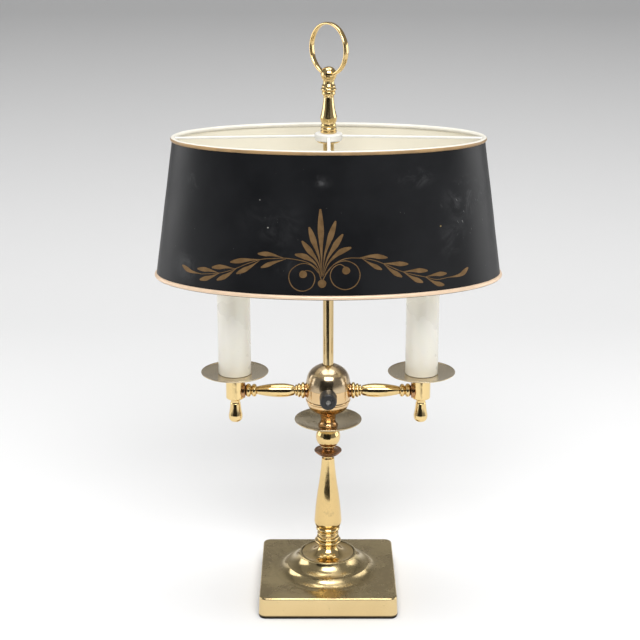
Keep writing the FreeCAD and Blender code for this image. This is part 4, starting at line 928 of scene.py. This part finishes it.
def orn_point(u, v, lift=LIFT):
    """Ornament plane (mm right and up of its base ball) to the shade's skin."""
    return shade_point(theta_at(ORN_S + u), ORN_Z + v, lift)


def smooth_path(points, n):
    """Catmull-Rom through the points, n samples."""
    p = [np.array(q, float) for q in points]
    p = [2 * p[0] - p[1]] + p + [2 * p[-1] - p[-2]]
    out = []
    spans = len(p) - 3
    for i in range(n):
        t = i / (n - 1) * spans
        k = min(int(t), spans - 1)
        f = t - k
        a, b, c, d = p[k:k + 4]
        out.append(0.5 * ((2 * b) + (-a + c) * f + (2 * a - 5 * b + 4 * c - d) * f * f + (-a + 3 * b - 3 * c + d) * f ** 3))
    return out


ornament_co, ornament_faces = [], []


def stroke(points, width, n=26, across=5):
    """A brush stroke along a path, its width given by width(t) in mm, t from 0 to 1."""
    path = smooth_path(points, n)
    base_i = len(ornament_co)
    for i, p in enumerate(path):
        a, b = path[max(0, i - 1)], path[min(n - 1, i + 1)]
        d = b - a
        d = d / max(np.hypot(*d), 1e-9)
        w = max(0.03, width(i / (n - 1))) / 2
        for k in range(across):
            s = -1 + 2 * k / (across - 1)
            q = p + np.array((-d[1], d[0])) * w * s
            ornament_co.append(orn_point(q[0], q[1]))
    for i in range(n - 1):
        for k in range(across - 1):
            a = base_i + i * across + k
            ornament_faces.append((a, a + across, a + across + 1, a + 1))


def leaf(points, wide, tip=0.25, n=26, fall=1.35):
    """A leaf from its tip to its stalk. tip places the fullest part along it, fall how fast it thins to the stalk."""
    def width(t):
        if t < tip:
            k = t / tip
            return wide * math.sin(math.pi / 2 * min(1.0, 0.12 + 0.88 * k) ** 0.85)
        k = (t - tip) / (1 - tip)
        return wide * ((1 - k) ** fall * 0.93 + 0.07)
    stroke(points, width, n, 7)


def blob(u, v, rad):
    base_i = len(ornament_co)
    rings, n = 4, 28
    ornament_co.append(orn_point(u, v))
    for i in range(1, rings + 1):
        for k in range(n):
            a = 2 * math.pi * k / n
            rr = rad * i / rings * (1 + 0.03 * math.sin(3 * a + u))
            ornament_co.append(orn_point(u + rr * math.cos(a), v + rr * math.sin(a)))
    for k in range(n):
        k2 = (k + 1) % n
        ornament_faces.append((base_i, base_i + 1 + k, base_i + 1 + k2))
        for i in range(rings - 1):
            p = base_i + 1 + i * n
            ornament_faces.append((p + k, p + n + k, p + n + k2, p + k2))


blob(0, 0, 3.7)
leaf([(-2.0, 67.2), (-1.3, 44.0), (-0.7, 26.0), (-0.2, 8.0)], 5.7, 0.30, 34, 2.0)
leaf([(-12.0, 51.1), (-7.6, 38.2), (-2.9, 24.2), (-0.4, 8.0)], 5.4, 0.32, 30, 2.1)
leaf([(-18.3, 38.4), (-11.2, 29.7), (-4.0, 19.7), (-0.3, 7.1)], 5.2, 0.34, 28, 2.2)
leaf([(-24.3, 26.2), (-14.8, 24.1), (-5.9, 17.9), (-0.4, 6.2)], 5.0, 0.34, 28, 2.2)
leaf([(12.0, 56.5), (6.9, 41.3), (2.3, 26.1), (0.2, 8.0)], 5.4, 0.30, 30, 2.1)
leaf([(18.4, 44.7), (11.6, 34.6), (4.2, 21.6), (0.4, 7.1)], 5.2, 0.33, 28, 2.2)
leaf([(25.8, 32.7), (15.6, 28.4), (5.8, 18.9), (0.6, 6.2)], 4.9, 0.31, 28, 2.2)
LEFT_STEM = [(-0.7, 3.4), (-4.1, 12.5), (-12.1, 18.7), (-21.0, 21.2), (-33.5, 22.5), (-44.3, 21.7), (-54.2, 20.5),
             (-67.8, 15.4), (-78.7, 10.0), (-92.7, 5.0), (-111.7, 1.8)]
RIGHT_STEM = [(0.7, 3.5), (4.7, 10.7), (10.8, 17.9), (19.7, 22.4), (31.2, 23.1), (44.5, 20.9), (55.2, 16.8),
              (72.1, 8.6), (92.2, 2.5), (102.6, -0.7), (113.5, -0.1)]
for line in (LEFT_STEM, RIGHT_STEM):
    stroke(line, lambda t: 0.85 - 0.35 * t, 120, 4)
for pts, wide in (([(-57.8, 25.5), (-46.2, 25.4), (-33.5, 22.5)], 4.3), ([(-54.4, 13.0), (-44.1, 17.7), (-32.1, 21.8)], 4.0),
                  ([(-82.9, 16.0), (-68.9, 18.9), (-54.2, 20.5)], 4.6), ([(-76.5, 6.0), (-65.7, 12.2), (-55.9, 19.3)], 4.4),
                  ([(-100.4, 9.3), (-89.2, 11.0), (-77.8, 10.4)], 4.4), ([(-94.7, -1.7), (-84.9, 3.9), (-76.4, 11.0)], 4.4),
                  ([(-115.3, 6.3), (-103.8, 6.6), (-92.8, 5.0)], 4.2), ([(-111.8, -3.5), (-102.3, -0.2), (-92.3, 5.0)], 4.3),
                  ([(-132.6, 7.0), (-122.7, 2.9), (-109.0, 2.0)], 4.2),
                  ([(58.1, 22.5), (44.6, 24.4), (31.2, 23.0)], 4.3), ([(52.7, 11.9), (44.4, 16.4), (35.0, 22.6)], 4.0),
                  ([(76.7, 15.6), (65.1, 16.6), (53.4, 17.5)], 4.3), ([(70.6, 4.2), (62.2, 9.8), (54.0, 17.3)], 4.2),
                  ([(94.5, 8.2), (83.2, 9.2), (71.5, 9.0)], 4.3), ([(89.5, -2.2), (81.0, 2.2), (71.6, 8.9)], 4.3),
                  ([(112.8, 3.7), (102.9, 4.0), (91.6, 2.7)], 4.2), ([(109.6, -6.7), (101.4, -3.9), (91.8, 2.6)], 4.2),
                  ([(136.0, 6.1), (127.1, 0.7), (112.0, -0.2)], 4.4)):
    leaf(pts, wide, 0.36, 24)
stroke([(-2.3, 8.9), (-10.3, 16.9), (-19.2, 17.7), (-27.3, 12.0), (-29.1, 4.2), (-25.2, -3.7), (-17.3, -7.0), (-9.3, -3.5),
        (-6.3, 4.3), (-8.5, 10.1), (-13.2, 11.8), (-16.7, 10.6)], lambda t: 0.62 + 0.22 * math.sin(math.pi * t), 110, 4)
stroke([(2.4, 8.4), (9.9, 17.0), (20.2, 20.7), (29.9, 16.4), (33.2, 7.3), (29.0, -1.7), (19.9, -5.4), (10.8, -1.4), (7.1, 6.7),
        (9.4, 14.0), (15.2, 17.5), (20.6, 15.0)], lambda t: 0.62 + 0.22 * math.sin(math.pi * t), 110, 4)
blob(-16.7, 8.3, 3.4)
blob(21.0, 11.9, 3.5)
ornament = mesh_object("shade_ornament.paint", np.array(ornament_co) * MM, ornament_faces, [bronze.mat], sharp=0)
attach(ornament, "shade")

# ------------------------------------------------------------ hub and finial

HUB = [(3.2, 459.15), (11.9, 459.15), (12.8, 460.05), (12.8, 464.6), (11.4, 466.0, -0.35), (3.2, 466.0)]
enamel = Nodes("spider_enamel")
co = enamel.co()
n1 = enamel.noise(co, 60.0, 4.0, 0.6)
n2 = enamel.noise(co, 420.0, 3.0, 0.6)
c = enamel.mix(enamel.span(n1, 0.35, 0.65), (0.80, 0.79, 0.75), (0.86, 0.855, 0.82))
c = enamel.mix(enamel.span(n2, 0.66, 0.76, 0.0, 0.45), c, (0.48, 0.42, 0.32))
enamel.set(Base_Color=c, Roughness=enamel.span(n1, 0.3, 0.7, 0.3, 0.42), Normal=enamel.bump(n2, 0.2, 0.0001))
spin("shade_hub.turned", HUB, [enamel.mat], "shade_hub", "shade", seg=96)

FINIAL = [
    (3.2, 466.1), (7.1, 466.1), (7.6, 466.6), (7.6, 468.0, -0.1), (6.9, 468.5), (7.2, 471.1, -0.45),
    (6.6, 471.5), (6.7, 474.5, -0.3), (6.3, 475.0), (7.75, 481.4, -0.55),
    (4.85, 498.0, 0.45), (4.95, 500.2, 0.05), (4.7, 500.6), (5.4, 501.0), (6.2, 503.6, -0.45), (5.85, 504.7, -0.2),
    (6.55, 505.3), (6.7, 507.5, -0.5), (6.1, 508.2), (6.0, 510.3, -0.35), (5.4, 511.3), (5.25, 513.0, 0.12),
    (6.1, 515.6, 0.3), (6.35, 516.3, -0.1), (6.6, 516.8), (7.5, 519.8, -0.165), (0, 527.3, -2.197), (0, 486.5),
    (3.2, 485.0)]
spin("finial_body.turned", FINIAL, [finial_brass], "finial_body", "finial", seg=112, fillet=0.15)


def ring_mesh():
    """The ring handle: a flattened band with rounded edges, standing at its own angle."""
    yaw = math.radians(48.0)
    along = Vector((math.cos(yaw), -math.sin(yaw), 0))
    across = Vector((math.sin(yaw), math.cos(yaw), 0))
    n, m = 180, 28
    co, faces = [], []
    for k in range(n):
        t = 2 * math.pi * k / n
        out = along * math.cos(t) + Vector((0, 0, 1)) * math.sin(t)
        for j in range(m):
            u = 2 * math.pi * j / m
            cu, su = math.cos(u), math.sin(u)
            rr = 23.2 + 1.3 * math.copysign(abs(cu) ** 0.75, cu)
            ww = 2.68 * math.copysign(abs(su) ** 0.75, su)
            p = out * rr + across * ww + Vector((0, 0, 543.0))
            co.append(tuple(p))
    for k in range(n):
        for j in range(m):
            j2, k2 = (j + 1) % m, (k + 1) % n
            faces.append((k * m + j, k * m + j2, k2 * m + j2, k2 * m + j))
    return np.array(co) * MM, faces


rco, rfaces = ring_mesh()
ring = mesh_object("finial_ring.bent", rco, rfaces, [ring_brass], sharp=0)
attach(ring, "finial")
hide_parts("finial_ring")

# ------------------------------------------------------------------- bulbs

GLASS = [
    (11.4, 314.0), (12.3, 314.0), (12.3, 327.5), (16.6, 338.0, 0.25), (20.6, 357.0, -0.65),
    (10.4, 396.0, -2.5), (1.6, 412.6, -0.5), (0, 413.4), (0, 412.2), (1.2, 411.5), (9.5, 395.6, 0.45),
    (19.7, 357.0, 2.35), (15.8, 338.4, 0.6), (11.4, 328.0, -0.25)]
CAPB = [
    (0, 296.95), (2.6, 296.95), (3.3, 297.6, -0.15), (3.4, 298.6), (8.6, 299.6), (13.0, 303.2, -0.4),
    (13.0, 325.9), (12.4, 326.6), (12.4, 303.6), (8.4, 300.4), (0, 300.4)]
glass = Nodes("bulb_glass")
co = glass.co()
n1 = glass.noise(co, 30.0, 3.0, 0.5)
glass.set(Base_Color=glass.mix(n1, (0.93, 0.94, 0.94), (0.99, 0.99, 0.98)), Roughness=glass.span(n1, 0.3, 0.7, 0.01, 0.06))
glass.bsdf.inputs["Transmission Weight"].default_value = 1.0
glass.bsdf.inputs["IOR"].default_value = 1.47


def metal(name, light, dark, rough, scale=200.0, bump=0.3):
    t = Nodes(name)
    co = t.co()
    n1 = t.noise(co, scale * 0.3, 4.0, 0.6)
    n2 = t.noise(co, scale * 3.0, 3.0, 0.6)
    t.set(Base_Color=t.mix(t.span(n1, 0.3, 0.7), light, dark), Metallic=1.0,
          Roughness=t.span(n2, 0.3, 0.7, rough - 0.07, rough + 0.09), Normal=t.bump(n2, bump, 0.00008))
    return t.mat


def dull(name, light, dark, rough, scale=200.0, bump=0.4, metallic=0.0):
    t = Nodes(name)
    co = t.co()
    n1 = t.noise(co, scale * 0.3, 4.0, 0.6)
    n2 = t.noise(co, scale * 2.5, 4.0, 0.65)
    t.set(Base_Color=t.mix(t.span(n1, 0.3, 0.7), light, dark), Metallic=metallic,
          Roughness=t.span(n2, 0.3, 0.7, rough - 0.08, rough + 0.08), Normal=t.bump(n2, bump, 0.00015))
    return t.mat


nickel = metal("bulb_nickel", (0.66, 0.65, 0.62), (0.52, 0.50, 0.46), 0.24)
for side, name in ((1, "right"), (-1, "left")):
    spin("bulb_glass_%s.blown" % name, GLASS, [glass.mat], "bulb_glass_" + name, "bulb_" + name, seg=96,
         loc=(90.7 * side, 0, 0), fillet=0.1)
    thread = lambda r, z, a: (r + (0.42 * math.sin(2 * math.pi * z / 3.6 + a) - 0.42 if 304.0 < z < 325.0 and r > 12.9 else 0.0), z)
    spin("bulb_cap_%s.pressed" % name, CAPB, [nickel], "bulb_cap_" + name, "bulb_" + name, seg=72,
         loc=(90.7 * side, 0, 0), step=0.45, wobble=thread)

# -------------------------------------------------- what stays as modelled

steel = metal("steel_plated", (0.56, 0.56, 0.57), (0.42, 0.42, 0.42), 0.32)
iron = dull("iron_cast", (0.12, 0.12, 0.122), (0.07, 0.065, 0.06), 0.62, 160.0, 0.8, 0.7)
felt = dull("felt_black", (0.008, 0.008, 0.008), (0.016, 0.016, 0.015), 0.95, 420.0, 1.0)
phenol = dull("phenolic_brown", (0.045, 0.030, 0.022), (0.028, 0.019, 0.015), 0.42)
bushing = dull("bushing_black", (0.016, 0.016, 0.017), (0.03, 0.03, 0.03), 0.4)
orange = dull("wire_nut_orange", (0.62, 0.22, 0.04), (0.50, 0.16, 0.03), 0.45)
china = dull("porcelain_white", (0.84, 0.83, 0.79), (0.78, 0.76, 0.71), 0.2, 90.0, 0.1)
shell_brass = metal("shell_brass", (0.78, 0.62, 0.34), (0.62, 0.47, 0.24), 0.28)
wire = dull("lead_cloth", (0.60, 0.52, 0.36), (0.46, 0.39, 0.26), 0.8, 500.0, 0.8)
filament = dull("filament_glass", (0.72, 0.73, 0.73), (0.62, 0.63, 0.62), 0.15, 100.0, 0.1)
by_slot = {"felt": felt, "cast_iron": iron, "steel": steel, "black_plastic": bushing, "phenolic": phenol,
           "wire_nut_plastic": orange, "porcelain": china, "brass_shell": shell_brass, "nickel": nickel,
           "filament": filament, "lead_insulation": wire, "spider_white": enamel.mat, "brass": polished,
           "brass_aged": saucer_brass, "tole_black": tole.mat, "rim_gold": bottom_rim_gold_and_shade, "rim_cream": top_paint,
           "candle_cream": cream.mat, "bulb_glass": glass.mat}
slot_of = {s["node"]: s["material_slot"] for s in frame["record"]["subparts"]}
for name, obj in nodes.items():
    mat = by_slot[slot_of[name]]
    if not obj.material_slots:
        obj.data.materials.append(mat)
    for s in obj.material_slots:
        s.material = mat
    if not obj.hide_render and name in ("switch_nut", "spider_bars", "felt_pad", "cord_bushing", "hickey"):
        bev = obj.modifiers.new("soft", "BEVEL")
        bev.width = 0.00025
        bev.segments = 2
        bev.limit_method = "ANGLE"
        bev.angle_limit = math.radians(40)

# ------------------------------------------------------------ floor, lights

def sweep():
    """Seamless paper: floor, a wide bend, and a wall behind."""
    prof = [(-3.2, 0.0), (0.9, 0.0)]
    rad = 1.1
    for k in range(1, 25):
        a = math.radians(90.0 * k / 24)
        prof.append((0.9 + rad * math.sin(a), rad - rad * math.cos(a)))
    prof.append((2.0, 3.4))
    co, faces = [], []
    for yv, zv in prof:
        co += [(-3.5, yv, zv), (3.5, yv, zv)]
    for i in range(len(prof) - 1):
        faces.append((2 * i, 2 * i + 1, 2 * i + 3, 2 * i + 2))
    return co, faces


paper = Nodes("paper_sweep")
co = paper.co()
n1 = paper.noise(co, 3.0, 3.0, 0.5)
n2 = paper.noise(co, 900.0, 2.0, 0.5)
px, py, pz = paper.xyz()
# Painted shade: the paper is near white on the floor by the lamp and greys up the wall, standing in for light falling
# off.
shade = paper.mix(paper.span(pz, 0.0, 0.40, smooth=False), (0.88, 0.88, 0.88), (0.362, 0.362, 0.364))
shade = paper.mix(paper.span(py, 0.35, 1.0, 1.0, 0.0), shade, (0.90, 0.90, 0.90))
shade = paper.mix(paper.math("MULTIPLY", n1, 0.06), shade, (0.72, 0.72, 0.72))
paper.set(Base_Color=shade, Roughness=0.85, Normal=paper.bump(n2, 0.05, 0.0001))
pco, pfaces = sweep()
floor = mesh_object("paper_sweep", pco, pfaces, [paper.mat], sharp=0)


def softbox(name, loc, aim, size, power, colour=(1, 1, 1)):
    data = bpy.data.lights.new(name, "AREA")
    data.shape = "RECTANGLE"
    data.size, data.size_y = size
    data.energy = power
    data.color = colour
    obj = bpy.data.objects.new(name, data)
    obj.location = loc
    obj.rotation_euler = (Vector(aim) - Vector(loc)).to_track_quat("-Z", "Y").to_euler()
    scene.collection.objects.link(obj)
    return obj


softbox("light_top", (0.0, 0.2, 2.3), (0, 0.05, 0.1), (1.7, 1.3), 24.0)
softbox("light_front", (0.15, -1.6, 1.95), (0, 0, 0.2), (1.7, 1.1), 44.0)
softbox("light_left", (-1.9, 0.35, 0.55), (0, 0, 0.25), (1.4, 0.9), 9.0)
softbox("light_right", (1.9, 0.30, 0.55), (0, 0, 0.25), (1.4, 0.9), 9.0)


def flag(x0, x1, y, z0, z1):
    """An upright, slightly wavy black sheet, for a painted dark reflection."""
    co, faces = [], []
    n, m = 24, 12
    for i in range(m + 1):
        for k in range(n + 1):
            u, v = k / n, i / m
            co.append((x0 + (x1 - x0) * u, y + 0.02 * math.sin(9 * u + 2 * v), z0 + (z1 - z0) * v))
    for i in range(m):
        for k in range(n):
            a = i * (n + 1) + k
            faces.append((a, a + 1, a + n + 2, a + n + 1))
    return co, faces


# Black sheets in front, out of the camera's view, paint dark reflections into the bright metal.
# They show only in reflections, lighting nothing and casting no shadow, so that every other view keeps its plain floor.
cloth = Nodes("dark_reflection_black")
weave = cloth.noise(cloth.co(), 700.0, 3.0, 0.6)
cloth.set(Base_Color=cloth.mix(weave, (0.006, 0.006, 0.006), (0.014, 0.014, 0.014)), Roughness=0.95,
          Normal=cloth.bump(weave, 0.4, 0.0004))
for name, args in (("black_flag_far", (-1.5, 0.8, -1.55, 0.0, 1.25)), ("black_flag_near", (-0.62, 0.24, -0.62, 0.0, 0.24))):
    fco, ffaces = flag(*args)
    dark_reflection_sheet = mesh_object(name, fco, ffaces, [cloth.mat], sharp=0)
    dark_reflection_sheet.visible_camera = False
    dark_reflection_sheet.visible_diffuse = False
    dark_reflection_sheet.visible_shadow = False
    dark_reflection_sheet.visible_transmission = False

world = bpy.data.worlds.new("studio")
world.use_nodes = True
wn = world.node_tree
wn.nodes.clear()
wo = wn.nodes.new("ShaderNodeOutputWorld")
bg = wn.nodes.new("ShaderNodeBackground")
bg.inputs[0].default_value = (1.0, 1.0, 1.0, 1.0)
bg.inputs[1].default_value = 0.26
wn.links.new(bg.outputs[0], wo.inputs[0])
scene.world = world
